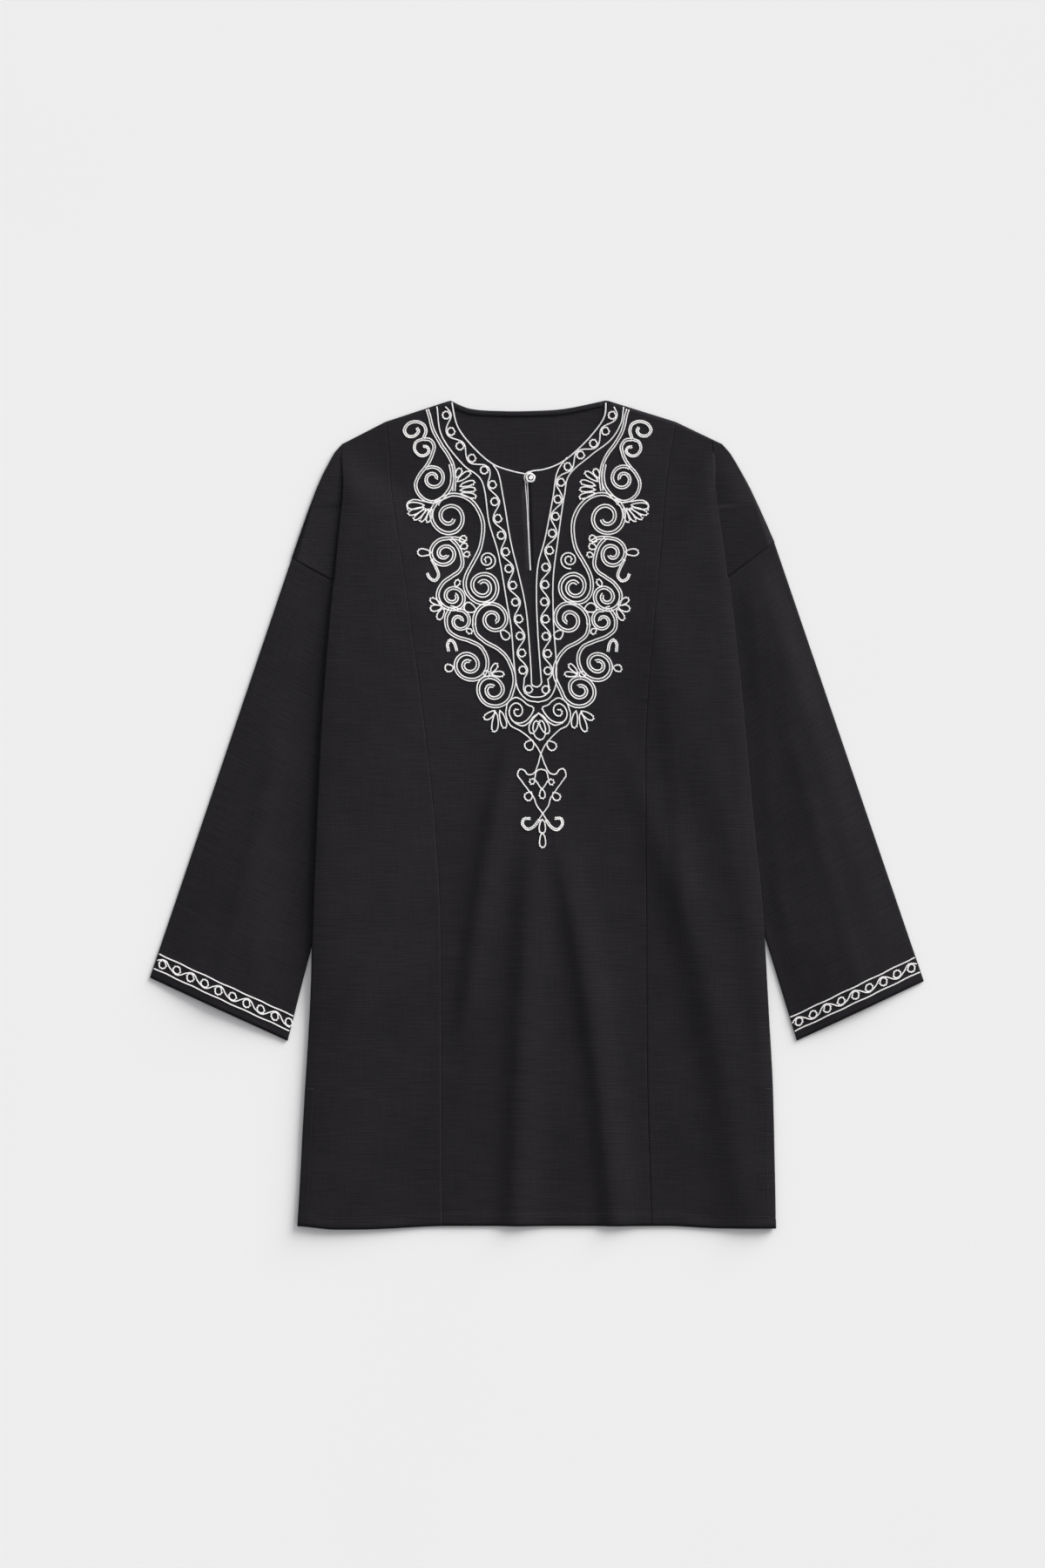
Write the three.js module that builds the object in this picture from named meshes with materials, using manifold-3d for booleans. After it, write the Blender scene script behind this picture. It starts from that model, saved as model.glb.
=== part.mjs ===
// A straight kurta tunic laid flat on a table, front up.
// Millimetres, +Z up, neck towards +Y, the wearer's right side at -X, the back panel on Z = 0.
import * as THREE from 'three';
import { mergeVertices } from 'three/addons/utils/BufferGeometryUtils.js';
import Module from 'manifold-3d';

const wasm = await Module();
wasm.setup();

// ---------------------------------------------------------------- driving dimensions
const CLOTH = 1.2;              // wall of one layer of cloth
const LAYER_GAP = 0.4;          // air between layers that lie on each other
const SEAM_GAP = 0.3;           // air between two pieces at a seam
const BACK_MID = CLOTH / 2;     // middle of the back's wall
const FRONT_MID = BACK_MID + CLOTH + LAYER_GAP;
const FOLD_RISE = { right: 8.0, left: 5.2 };   // front above the arm's upper layer, at the folded side
const FOLD_REACH = { right: 120, left: 80 };   // how far in from the tucked cloth the front comes down again
const FOLD_SPAN = { shutY: 402, openY: 345, ventTopY: -150, ventOpenY: -245 };
const VENT_SHARE = 0.51;        // how much of the fold's rise is left beside the side vents
const ARM_TUCK = { headY: 380, head: 6, footY: 208, foot: 66 };   // front cloth folded in over the upper arm
const SEAM_ALLOWANCE = 8;       // front side seam lying on the back, under the fold
const TURNED_SIDE = 12;         // cloth turned under along the side vents
const SHOULDER_TOP = 447;       // height of the neck ends of the shoulder seams
const NECK_END = { right: -92.1, left: 77.1 };
const BINDING_WIDTH = 5;
const BINDING_THICK = 1;
const CORD_RADIUS = 1.1;        // white cord on the neck edge
const SLIT_CORD_RADIUS = 0.6;
const SLIT_TOP = { x: -10.4, y: 366 };
const SLIT_END = { x: -5.4, y: 263 };
const SLIT_WIDTH = 3.4;
const BUTTON = { x: -5.6, y: 363.6, radius: 5.6, height: 6.4 };
const SLEEVE_PUFF = 3.2;        // air inside the laid sleeve at its fullest
const PUFF_CLEAR = { none: 12, full: 60 };   // how far out from the body's edge that air starts and is full
const CORD_REST = 0.05;         // extra air under a cord that lies on the binding's height
const CUTTER = { bottom: -5, height: 30 };   // prisms that cut the neck and the slit right through

// The two sides of the body: the folded side edge and the princess seam, at heights y.
const BODY = {
  right: [
    { y: 445, edge: -203, seam: -164 },
    { y: 391, edge: -210, seam: -158.6 },
    { y: 353, edge: -208.7, seam: -156 },
    { y: 278, edge: -216.2, seam: -144.8 },
    { y: 203, edge: -222.8, seam: -134.2 },
    { y: 100, edge: -230.2, seam: -120.4 },
    { y: 0, edge: -234.8, seam: -109.6 },
    { y: -98, edge: -238.8, seam: -103.2 },
    { y: -211, edge: -242.5, seam: -102 },
    { y: -305, edge: -248.2, seam: -101.8 },
    { y: -446, edge: -255.8, seam: -100.6 },
  ],
  left: [
    { y: 445, edge: 190, seam: 154.5 },
    { y: 391, edge: 192.7, seam: 145.6 },
    { y: 353, edge: 194.6, seam: 140.2 },
    { y: 278, edge: 206.8, seam: 134.2 },
    { y: 203, edge: 215.3, seam: 127 },
    { y: 100, edge: 225.6, seam: 119.4 },
    { y: 0, edge: 234.4, seam: 118.4 },
    { y: -98, edge: 244.4, seam: 119.4 },
    { y: -211, edge: 251, seam: 119.8 },
    { y: -305, edge: 255.7, seam: 120.8 },
    { y: -446, edge: 258.5, seam: 125 },
  ],
};

// How the side of the front folds over the upper arm, row by row from the shoulder seam down to
// the dropped sleeve seam: height at the princess seam, outer rim, turn of the fold in degrees,
// and the cloth lying under the fold.
const SHOULDER_FOLD = {
  right: [
    { seamY: 424, rimX: -208.7, rimY: 400, turn: 0, tuck: 1 },
    { seamY: 411, rimX: -217.1, rimY: 390.6, turn: 0, tuck: 1 },
    { seamY: 397, rimX: -223, rimY: 379.5, turn: 24, tuck: 1 },
    { seamY: 381, rimX: -229.2, rimY: 368, turn: 62, tuck: 1 },
    { seamY: 361, rimX: -236.2, rimY: 352, turn: 122, tuck: 1 },
    { seamY: 330, rimX: -244.6, rimY: 330, turn: 180, tuck: 22 },
    { seamY: 285, rimX: -254.5, rimY: 302, turn: 180, tuck: 42 },
    { seamY: 208, rimX: -263.2, rimY: 276.8, turn: 180, tuck: 65 },
  ],
  left: [
    { seamY: 424, rimX: 201.2, rimY: 400, turn: 0, tuck: 1 },
    { seamY: 411, rimX: 209.6, rimY: 390.6, turn: 0, tuck: 1 },
    { seamY: 397, rimX: 216.2, rimY: 380, turn: 24, tuck: 1 },
    { seamY: 381, rimX: 223, rimY: 368, turn: 62, tuck: 1 },
    { seamY: 361, rimX: 231.2, rimY: 353, turn: 122, tuck: 1 },
    { seamY: 330, rimX: 240.6, rimY: 333, turn: 180, tuck: 20 },
    { seamY: 285, rimX: 249.6, rimY: 313, turn: 180, tuck: 42 },
    { seamY: 196, rimX: 257.6, rimY: 294.7, turn: 180, tuck: 65 },
  ],
};
const LOWER_ROWS = [150, 80, 0, -80, -160, -235, -305, -375, -445];

// Sleeve corners as laid: outer end of the dropped seam, underarm, and the two corners of the cuff.
const SLEEVE = {
  right: { top: [-263.2, 276.8], underarm: [-150.4, 216.7], outer: [-416.4, -175.3], inner: [-267, -243.9] },
  left: { top: [257.6, 294.7], underarm: [142.9, 207.3], outer: [419.2, -179.1], inner: [281.4, -243.6] },
};

// Soft folds in the laid front, each from its head down to its foot.
const FRONT_FOLDS = [
  { headX: -22, headY: 95, footX: -72, footY: -190, rise: 3.2, half: 15 },
  { headX: -3, headY: -5, footX: -22, footY: -440, rise: 3.6, half: 18 },
  { headX: 22, headY: -10, footX: 84, footY: -440, rise: 3.6, half: 17 },
  { headX: 100, headY: 80, footX: 232, footY: -420, rise: 4.6, half: 30 },
  { headX: 180, headY: 110, footX: 248, footY: -280, rise: 2.0, half: 13 },
  { headX: -145, headY: -60, footX: -222, footY: -310, rise: 2.6, half: 20 },
  { headX: 122, headY: 290, footX: 158, footY: -60, rise: 1.6, half: 14 },
];

const HEM = { y: -443.2, dip: 3.6, leftShare: 0.7, backShort: 0.8 };
const FRONT_NECK = {
  right: [[-92.1, 447], [-85.5, 418.8], [-71.4, 399], [-47, 377.4], [-23.5, 368.9], [-12.2, 366.4]],
  left: [
    [77.1, 447], [75.2, 429.1], [60.2, 407.5], [35.7, 384],
    [23.5, 376.4], [8.5, 371.2], [-4, 369.4], [-8.6, 367],
  ],
};
const BACK_NECK = [[-92.1, 447], [-71.4, 438.5], [-34.8, 435.7], [-2.8, 435.9], [30.1, 438], [77.1, 447.4]];

const COLOURS = { cloth: 0x272528, inside: 0x2b292c, cord: 0xe4e4ea, thread: 0xdcdce4 };

// ---------------------------------------------------------------- small helpers
const mix = (a, b, t) => a + (b - a) * t;

function smooth(from, to, value) {
  const t = Math.min(1, Math.max(0, (value - from) / (to - from)));
  return t * t * (3 - 2 * t);
}

// Smooth reading of one column of a table whose rows run down the body.
function read(table, y, column) {
  const last = table.length - 1;
  let i = 0;
  while (i < last - 1 && y < table[i + 1].y) i += 1;
  const slope = (k) => {
    const before = table[Math.max(0, k - 1)];
    const after = table[Math.min(last, k + 1)];
    return (after[column] - before[column]) / (after.y - before.y);
  };
  const [a, b] = [table[i], table[i + 1]];
  const span = b.y - a.y;
  const t = (y - a.y) / span;
  const [t2, t3] = [t * t, t * t * t];
  return (2 * t3 - 3 * t2 + 1) * a[column] + (t3 - 2 * t2 + t) * span * slope(i)
    + (3 * t2 - 2 * t3) * b[column] + (t3 - t2) * span * slope(i + 1);
}

// Where the side seam lies hidden under the fold: along the sleeve's inner edge.
function sideSeam(side, y) {
  const { underarm, inner } = SLEEVE[side];
  return mix(underarm[0], inner[0], (y - underarm[1]) / (inner[1] - underarm[1]));
}

function tuckAt(side, y) {
  const hidden = Math.abs(read(BODY[side], y, 'edge')) - Math.abs(sideSeam(side, y)) + SEAM_ALLOWANCE;
  return Math.max(TURNED_SIDE, hidden);
}

// The hem runs straight across the centre and dips a little under each side panel.
function hemAt(x) {
  const right = smooth(-90, -190, x) * smooth(-256, -215, x);
  const left = HEM.leftShare * smooth(140, 200, x);
  return HEM.y - HEM.dip * (right + left);
}

function foldRelief(x, y) {
  let rise = 0;
  for (const fold of FRONT_FOLDS) {
    const along = (fold.headY - y) / (fold.headY - fold.footY);
    const centre = mix(fold.headX, fold.footX, along + 0.12 * Math.sin(Math.PI * along));
    const fade = smooth(-0.1, 0.35, along) * (1 - smooth(1, 1.3, along));
    rise += fold.rise * fade * Math.exp(-(((x - centre) / fold.half) ** 2));
  }
  return rise;
}

// Height of the middle of the front's wall, over the flat back.
function frontHeight(x, y) {
  const side = x < 0 ? 'right' : 'left';
  const inFromEdge = Math.abs(read(BODY[side], y, 'edge')) - Math.abs(x);
  const { headY, head, footY, foot } = ARM_TUCK;
  const tuck = y > footY ? mix(foot, head, smooth(footY, headY, y)) : tuckAt(side, y);
  const near = 1 - smooth(tuck - 6, tuck - 6 + FOLD_REACH[side], inFromEdge);
  const { shutY, openY, ventTopY, ventOpenY } = FOLD_SPAN;
  const opening = smooth(shutY, openY, y) * mix(1, VENT_SHARE, smooth(ventTopY, ventOpenY, y));
  const quiet = 1 - near;
  return FRONT_MID + FOLD_RISE[side] * opening * near + foldRelief(x, y) * mix(0.25, 1, quiet);
}

// ---------------------------------------------------------------- solids from sections
function closedMesh(points, faces) {
  const geometry = new THREE.BufferGeometry();
  geometry.setAttribute('position', new THREE.Float32BufferAttribute(points.flat(), 3));
  geometry.setIndex(faces.flat());
  return geometry;
}

// A wall of cloth on a grid of rows. Each point is { at: [x, y, z], out: [x, y, z] }, out being the
// unit direction of the upper face; widths[i] is the number of points of row i that are cloth.
function wall(rows, widths, thickness = CLOTH) {
  const count = rows[0].length;
  const points = [];
  for (const face of [0.5, -0.5]) {
    for (const row of rows) {
      for (const { at, out } of row) points.push(at.map((v, k) => v + out[k] * face * thickness));
    }
  }
  const lower = rows.length * count;
  const top = (i, j) => i * count + j;
  const cells = (i) => Math.min(widths[i], widths[i + 1]) - 1;
  const cloth = (i, j) => i >= 0 && i < rows.length - 1 && j >= 0 && j < cells(i);
  const faces = [];
  const rim = (a, b) => faces.push([a, b, b + lower], [a, b + lower, a + lower]);
  for (let i = 0; i < rows.length - 1; i += 1) {
    for (let j = 0; j < count - 1; j += 1) {
      if (!cloth(i, j)) continue;
      const [a, b, c, d] = [top(i, j), top(i + 1, j), top(i + 1, j + 1), top(i, j + 1)];
      faces.push([a, b, c], [a, c, d]);
      faces.push([a + lower, c + lower, b + lower], [a + lower, d + lower, c + lower]);
      if (!cloth(i, j - 1)) rim(b, a);
      if (!cloth(i + 1, j)) rim(c, b);
      if (!cloth(i, j + 1)) rim(d, c);
      if (!cloth(i - 1, j)) rim(a, d);
    }
  }
  return closedMesh(points, faces);
}

function turnedOut(geometry) {
  const index = geometry.getIndex();
  for (let k = 0; k < index.count; k += 3) {
    const keep = index.getX(k);
    index.setX(k, index.getX(k + 1));
    index.setX(k + 1, keep);
  }
  return geometry;
}

// A run of points in a vertical section, { u, z }, given the unit direction of its upper face.
function faced(run) {
  return run.map((point, k) => {
    const before = run[Math.max(0, k - 1)];
    const after = run[Math.min(run.length - 1, k + 1)];
    const length = Math.hypot(after.u - before.u, after.z - before.z);
    return { ...point, outU: -(after.z - before.z) / length, outZ: (after.u - before.u) / length };
  });
}

// ---------------------------------------------------------------- manifold cuts
function toManifold(geometry) {
  const bare = geometry.clone();
  bare.deleteAttribute('normal');
  bare.deleteAttribute('uv');
  const merged = mergeVertices(bare, 1e-4);
  const mesh = new wasm.Mesh({
    numProp: 3,
    vertProperties: new Float32Array(merged.attributes.position.array),
    triVerts: new Uint32Array(merged.index.array),
  });
  return new wasm.Manifold(mesh);
}

function cut(geometry, ...tools) {
  let body = toManifold(geometry);
  for (const tool of tools) body = body.subtract(toManifold(tool));
  const mesh = body.getMesh();
  const result = new THREE.BufferGeometry();
  result.setAttribute('position', new THREE.BufferAttribute(Float32Array.from(mesh.vertProperties), 3));
  result.setIndex(new THREE.BufferAttribute(Uint32Array.from(mesh.triVerts), 1));
  return result;
}

function prism(outline, bottom, height) {
  const shape = new THREE.Shape(outline.map(([x, y]) => new THREE.Vector2(x, y)));
  const geometry = new THREE.ExtrudeGeometry(shape, { depth: height, bevelEnabled: false });
  geometry.translate(0, 0, bottom);
  return geometry;
}

function curveThrough(points, count) {
  const knots = points.map(([x, y]) => new THREE.Vector3(x, y, 0));
  const curve = new THREE.CatmullRomCurve3(knots, false, 'centripetal');
  return curve.getSpacedPoints(count).map((p) => [p.x, p.y]);
}

// The same plan curve moved sideways, to the left of its direction.
function moved(points, distance) {
  return points.map(([x, y], k) => {
    const [ax, ay] = points[Math.max(0, k - 1)];
    const [bx, by] = points[Math.min(points.length - 1, k + 1)];
    const length = Math.hypot(bx - ax, by - ay);
    return [x - ((by - ay) / length) * distance, y + ((bx - ax) / length) * distance];
  });
}

function cord(points, radius, sides, steps) {
  const path = new THREE.CatmullRomCurve3(points.map((p) => new THREE.Vector3(...p)), false, 'centripetal');
  const ring = [];
  for (let k = 0; k < sides; k += 1) {
    const angle = (2 * Math.PI * k) / sides;
    ring.push(new THREE.Vector2(radius * Math.cos(angle), radius * Math.sin(angle)));
  }
  return new THREE.ExtrudeGeometry(new THREE.Shape(ring), { steps, extrudePath: path, bevelEnabled: false });
}

// ---------------------------------------------------------------- cloth pieces
const MAIN = [0, 0.2, 0.4, 0.6, 0.8, 0.93];   // shares of the way from the princess seam to the fold
const ARM = [0.25, 0.5, 0.78, 1];             // shares of the way from the fold to the sleeve's rim
const BEND_STEPS = 4;
const UNDER_POINTS = 3;         // points along the cloth tucked under a fold
const FOLD_PLACE = 0.75;        // where along a shoulder row its fold is looked up
const BEND_ROOM = { shoulder: 2, side: 1.2 };   // the main layer ends this far short of the folded edge
const EDGE_LIFT = { aboveY: 100, lift: 24 };    // the row under the arm rises this much towards the edge

function bend(run, radius, degrees, sense) {
  const start = run[run.length - 1];
  const heading = sense < 0 ? 0 : -degrees;
  for (let k = 1; k <= BEND_STEPS; k += 1) {
    const turned = THREE.MathUtils.degToRad((degrees * k) / BEND_STEPS);
    const from = THREE.MathUtils.degToRad(heading);
    const to = from + sense * turned;
    run.push({
      u: start.u + sense * radius * (Math.sin(to) - Math.sin(from)),
      z: start.z - sense * radius * (Math.cos(to) - Math.cos(from)),
    });
  }
}

function straight(run, length, degrees, fractions) {
  const start = run[run.length - 1];
  const angle = THREE.MathUtils.degToRad(degrees);
  for (const f of fractions) {
    run.push({ u: start.u + length * f * Math.cos(angle), z: start.z + length * f * Math.sin(angle) });
  }
}

// One side front panel: main layer, rounded fold, cloth tucked under, and above the dropped seam a
// second fold and the upper arm layer.
function sideFront(side) {
  const sign = side === 'right' ? -1 : 1;
  const rows = [];
  const widths = [];
  const folded = MAIN.length + BEND_STEPS + UNDER_POINTS;
  const full = folded + BEND_STEPS + ARM.length;
  const place = (run, seamX, seamY, slope) => faced(run).map(({ u, z, outU, outZ }) => ({
    at: [seamX + sign * u, seamY + slope * u, z],
    out: [sign * outU, slope * outU, outZ],
  }));
  const mainRun = (seamX, seamY, slope, edgeU) => MAIN.map((f) => {
    const u = edgeU * f;
    return { u, z: frontHeight(seamX + sign * u, seamY + slope * u) };
  });

  for (const row of SHOULDER_FOLD[side]) {
    const seamX = read(BODY[side], row.seamY, 'seam') + sign * SEAM_GAP / 2;
    const reach = Math.abs(row.rimX - seamX);
    const slope = (row.rimY - row.seamY) / reach;
    const foldY = row.seamY + slope * reach * FOLD_PLACE;
    const edgeU = Math.abs(read(BODY[side], foldY, 'edge') - seamX) - BEND_ROOM.shoulder;
    const run = mainRun(seamX, row.seamY, slope, edgeU);
    const drop = frontHeight(seamX + sign * edgeU, row.seamY + slope * edgeU) - FRONT_MID;
    const angle = THREE.MathUtils.degToRad(row.turn);
    if (row.turn === 0) {
      const end = run[run.length - 1];
      const flat = 2 * BEND_STEPS + UNDER_POINTS;
      const loose = [...Array(flat)].map((_, k) => ({ u: end.u + 0.7 * (k + 1), z: end.z }));
      run.push(...loose);
    } else {
      const radius = (drop - row.tuck * Math.sin(angle)) / (2 * (1 - Math.cos(angle)));
      bend(run, radius, row.turn, -1);
      straight(run, row.tuck, -row.turn, [0.35, 0.7, 1]);
      bend(run, radius, row.turn, 1);
    }
    const start = run[run.length - 1];
    for (const f of ARM) {
      run.push({ u: mix(start.u, reach, f), z: mix(start.z, FRONT_MID, f) });
    }
    rows.push(place(run, seamX, row.seamY, slope));
    widths.push(full);
  }

  for (const seamY of LOWER_ROWS) {
    const seamX = read(BODY[side], seamY, 'seam') + sign * SEAM_GAP / 2;
    const last = seamY === LOWER_ROWS[LOWER_ROWS.length - 1];
    const edgeY = seamY + (seamY > EDGE_LIFT.aboveY ? EDGE_LIFT.lift : 0);
    const reach = Math.abs(read(BODY[side], edgeY, 'edge') - seamX);
    const slope = (edgeY - seamY) / reach;
    const edgeU = reach - BEND_ROOM.side;
    const run = mainRun(seamX, seamY, slope, edgeU);
    const under = FRONT_MID + (FOLD_RISE[side] / 2) * (1 - smooth(-160, -240, seamY));
    const tuck = tuckAt(side, edgeY);
    bend(run, (run[run.length - 1].z - under) / 2, 180, -1);
    const level = run[run.length - 1];
    run.push({ u: level.u - (tuck - SEAM_ALLOWANCE) * 0.5, z: level.z });
    run.push({ u: level.u - (tuck - SEAM_ALLOWANCE), z: level.z });
    run.push({ u: level.u - tuck, z: mix(level.z, FRONT_MID, 0.9) });
    const points = place(run, seamX, seamY, slope);
    while (points.length < full) points.push(points[points.length - 1]);
    if (last) {
      for (const point of points) point.at[1] = hemAt(point.at[0]);
    }
    rows.push(points);
    widths.push(folded);
  }
  const geometry = wall(rows, widths);
  return side === 'right' ? turnedOut(geometry) : geometry;
}

// The centre front before its neck and slit are cut: rows meet the side panels' rows at the seams.
function centreFrontBlank() {
  const columns = 12;
  const count = SHOULDER_FOLD.right.length + LOWER_ROWS.length;
  const seamY = (side, i) => {
    const upper = SHOULDER_FOLD[side].length;
    return i < upper ? SHOULDER_FOLD[side][i].seamY : LOWER_ROWS[i - upper];
  };
  const shoulderRise = (x) => (SHOULDER_TOP - seamY('right', 0))
    * Math.min(smooth(-172, NECK_END.right + 10, x), smooth(162, NECK_END.left - 10, x));
  const rows = [];
  for (let i = 0; i < count; i += 1) {
    const [rightY, leftY] = [seamY('right', i), seamY('left', i)];
    const rightX = read(BODY.right, rightY, 'seam') + SEAM_GAP / 2;
    const leftX = read(BODY.left, leftY, 'seam') - SEAM_GAP / 2;
    const run = [];
    for (let j = 0; j <= columns; j += 1) {
      const x = mix(rightX, leftX, j / columns);
      const raise = j === 0 || j === columns ? 0 : shoulderRise(x) * (1 - smooth(0, 8, i));
      const y = i === count - 1 ? hemAt(x) : mix(rightY, leftY, j / columns) + raise;
      run.push({ u: x, y, z: frontHeight(x, y) });
    }
    rows.push(faced(run).map(({ u, y, z, outU, outZ }) => ({ at: [u, y, z], out: [outU, 0, outZ] })));
  }
  return wall(rows, rows.map(() => columns + 1));
}

const neckRight = curveThrough(FRONT_NECK.right, 14);
const neckLeft = curveThrough(FRONT_NECK.left, 16);

function frontCentre() {
  const above = SHOULDER_TOP + 30;
  const scoop = [...neckRight, ...[...neckLeft].reverse(), [NECK_END.left, above], [NECK_END.right, above]];
  const half = SLIT_WIDTH / 2;
  const slit = [
    [SLIT_TOP.x - half, SLIT_TOP.y + 4],
    [SLIT_END.x - half, SLIT_END.y],
    [SLIT_END.x + half, SLIT_END.y],
    [SLIT_TOP.x + half, SLIT_TOP.y + 4],
  ];
  const tools = [scoop, slit].map((outline) => prism(outline, CUTTER.bottom, CUTTER.height));
  return cut(centreFrontBlank(), ...tools);
}

// The back lies flat. Its side seams run beside the sleeves' inner edges and then down the body.
function back() {
  const outline = [];
  const inward = { right: 1, left: -1 };
  const half = (side) => {
    const shift = inward[side] * SEAM_GAP;
    const points = SHOULDER_FOLD[side].slice(0, -1).map((row) => [row.rimX, row.rimY]);
    const { top, underarm } = SLEEVE[side];
    points.push(top, [underarm[0] + shift, underarm[1]]);
    for (const y of [100, 0, -80, -140, -235, -340, HEM.y]) {
      const edge = Math.abs(read(BODY[side], y, 'edge')) - 1;
      const x = -inward[side] * Math.min(edge, Math.abs(sideSeam(side, y)) - SEAM_GAP);
      points.push([x, y === HEM.y ? hemAt(x) + HEM.backShort : y]);
    }
    return points;
  };
  outline.push(...half('right'));
  for (const x of [-150, 0, 170]) outline.push([x, hemAt(x) + HEM.backShort]);
  outline.push(...half('left').reverse());
  outline.push(...curveThrough(BACK_NECK, 12).reverse());
  return prism(outline, 0, CLOTH);
}

// A laid sleeve: one tube, its upper and lower layers joined by rounded edges, open at both ends.
function sleeve(side) {
  const { top, underarm, outer, inner } = SLEEVE[side];
  const radius = (FRONT_MID - BACK_MID) / 2;
  const centreZ = (FRONT_MID + BACK_MID) / 2;
  const stations = 9;
  const start = 0.003;
  const across = [0.07, 0.2, 0.38, 0.56, 0.74, 0.9];
  const below = [0.85, 0.5, 0.15];
  const rings = [];
  for (let i = 0; i < stations; i += 1) {
    const t = mix(start, 1, i / (stations - 1));
    const from = [mix(top[0], outer[0], t), mix(top[1], outer[1], t)];
    const to = [mix(underarm[0], inner[0], t), mix(underarm[1], inner[1], t)];
    const width = Math.hypot(to[0] - from[0], to[1] - from[1]);
    const along = [(to[0] - from[0]) / width, (to[1] - from[1]) / width];
    const first = radius + CLOTH / 2;
    const last = width - first - SEAM_GAP;
    const ring = [];
    const arc = (centre, heading) => {
      for (const turn of [0, 60, 120, 180]) {
        const a = THREE.MathUtils.degToRad(heading - turn);
        ring.push({ u: centre + radius * Math.cos(a), z: centreZ + radius * Math.sin(a), a });
      }
    };
    arc(first, 270);
    for (const f of across) {
      const u = mix(first, last, f);
      const x = from[0] + along[0] * u;
      const y = from[1] + along[1] * u;
      const free = Math.abs(x) - Math.abs(read(BODY[side], y, 'edge'));
      const loose = smooth(PUFF_CLEAR.none, PUFF_CLEAR.full, free) * smooth(0, 0.2, t);
      const puff = SLEEVE_PUFF * Math.sin(Math.PI * f) * loose;
      ring.push({ u, z: FRONT_MID + puff, a: Math.PI / 2 });
    }
    arc(last, 90);
    for (const f of below) ring.push({ u: mix(first, last, f), z: BACK_MID, a: -Math.PI / 2 });
    rings.push(ring.map(({ u, z, a }) => ({
      at: [from[0] + along[0] * u, from[1] + along[1] * u, z],
      out: [along[0] * Math.cos(a), along[1] * Math.cos(a), Math.sin(a)],
    })));
  }
  return tube(rings, side === 'left');
}

function tube(rings, mirrored) {
  const count = rings[0].length;
  const points = [];
  for (const face of [0.5, -0.5]) {
    for (const ring of rings) {
      for (const { at, out } of ring) points.push(at.map((v, k) => v + out[k] * face * CLOTH));
    }
  }
  const inside = rings.length * count;
  const faces = [];
  const quad = (a, b, c, d) => faces.push([a, b, c], [a, c, d]);
  for (let i = 0; i < rings.length; i += 1) {
    for (let j = 0; j < count; j += 1) {
      const next = (j + 1) % count;
      const [a, d] = [i * count + j, i * count + next];
      if (i < rings.length - 1) {
        const [b, c] = [a + count, d + count];
        quad(a, b, c, d);
        quad(a + inside, d + inside, c + inside, b + inside);
      }
      if (i === 0) quad(a, d, d + inside, a + inside);
      if (i === rings.length - 1) quad(a, a + inside, d + inside, d);
    }
  }
  const geometry = closedMesh(points, faces);
  return mirrored ? turnedOut(geometry) : geometry;
}

// A narrow self-cloth band lying on the back along its neckline.
function backNeckBinding() {
  const line = curveThrough(BACK_NECK, 16).slice(1, -1);
  const outline = [...moved(line, -0.6), ...moved(line, -0.6 - BINDING_WIDTH).reverse()];
  return prism(outline, CLOTH + SEAM_GAP, BINDING_THICK);
}

// ---------------------------------------------------------------- cords, button, loop
function neckCord(line, sideways) {
  const rest = CLOTH + SEAM_GAP + CORD_RADIUS + CORD_REST;
  const path = moved(line, sideways).map(([x, y]) => [x, y, Math.max(rest, frontHeight(x, y))]);
  return cord(path, CORD_RADIUS, 6, 26);
}

function slitCord(offset) {
  const path = [0.1, 0.4, 0.7, 0.97].map((t) => {
    const x = mix(SLIT_TOP.x, SLIT_END.x, t) + offset;
    const y = mix(SLIT_TOP.y, SLIT_END.y, t);
    return [x, y, frontHeight(x, y)];
  });
  return cord(path, SLIT_CORD_RADIUS, 5, 10);
}

function button() {
  const seat = frontHeight(BUTTON.x, BUTTON.y) + CLOTH / 2 + SEAM_GAP;
  const profile = [];
  const steps = 8;
  for (let k = 0; k <= steps; k += 1) {
    const angle = Math.PI * (k / steps - 0.5);
    profile.push(new THREE.Vector2(
      k % steps === 0 ? 0 : BUTTON.radius * Math.cos(angle),
      (BUTTON.height / 2) * (1 + Math.sin(angle)),
    ));
  }
  const geometry = new THREE.LatheGeometry(profile, 16);
  geometry.rotateX(Math.PI / 2);
  geometry.translate(BUTTON.x, BUTTON.y, seat);
  return geometry;
}

function buttonLoop() {
  const reach = BUTTON.radius + SLIT_CORD_RADIUS + SEAM_GAP;
  const path = [];
  for (let degrees = 95; degrees <= 235; degrees += 20) {
    const angle = THREE.MathUtils.degToRad(degrees);
    const x = BUTTON.x + reach * Math.cos(angle);
    const y = BUTTON.y + reach * Math.sin(angle);
    path.push([x, y, frontHeight(x, y) + CLOTH / 2 + SLIT_CORD_RADIUS + SEAM_GAP]);
  }
  return cord(path, SLIT_CORD_RADIUS, 6, 16);
}

// ---------------------------------------------------------------- the garment
const fabric = (color) => new THREE.MeshStandardMaterial({ color, roughness: 0.86, metalness: 0 });
const cordSideways = CORD_RADIUS + SEAM_GAP + 0.1;
const slitSideways = SLIT_WIDTH / 2 - SLIT_CORD_RADIUS - SEAM_GAP;

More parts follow.
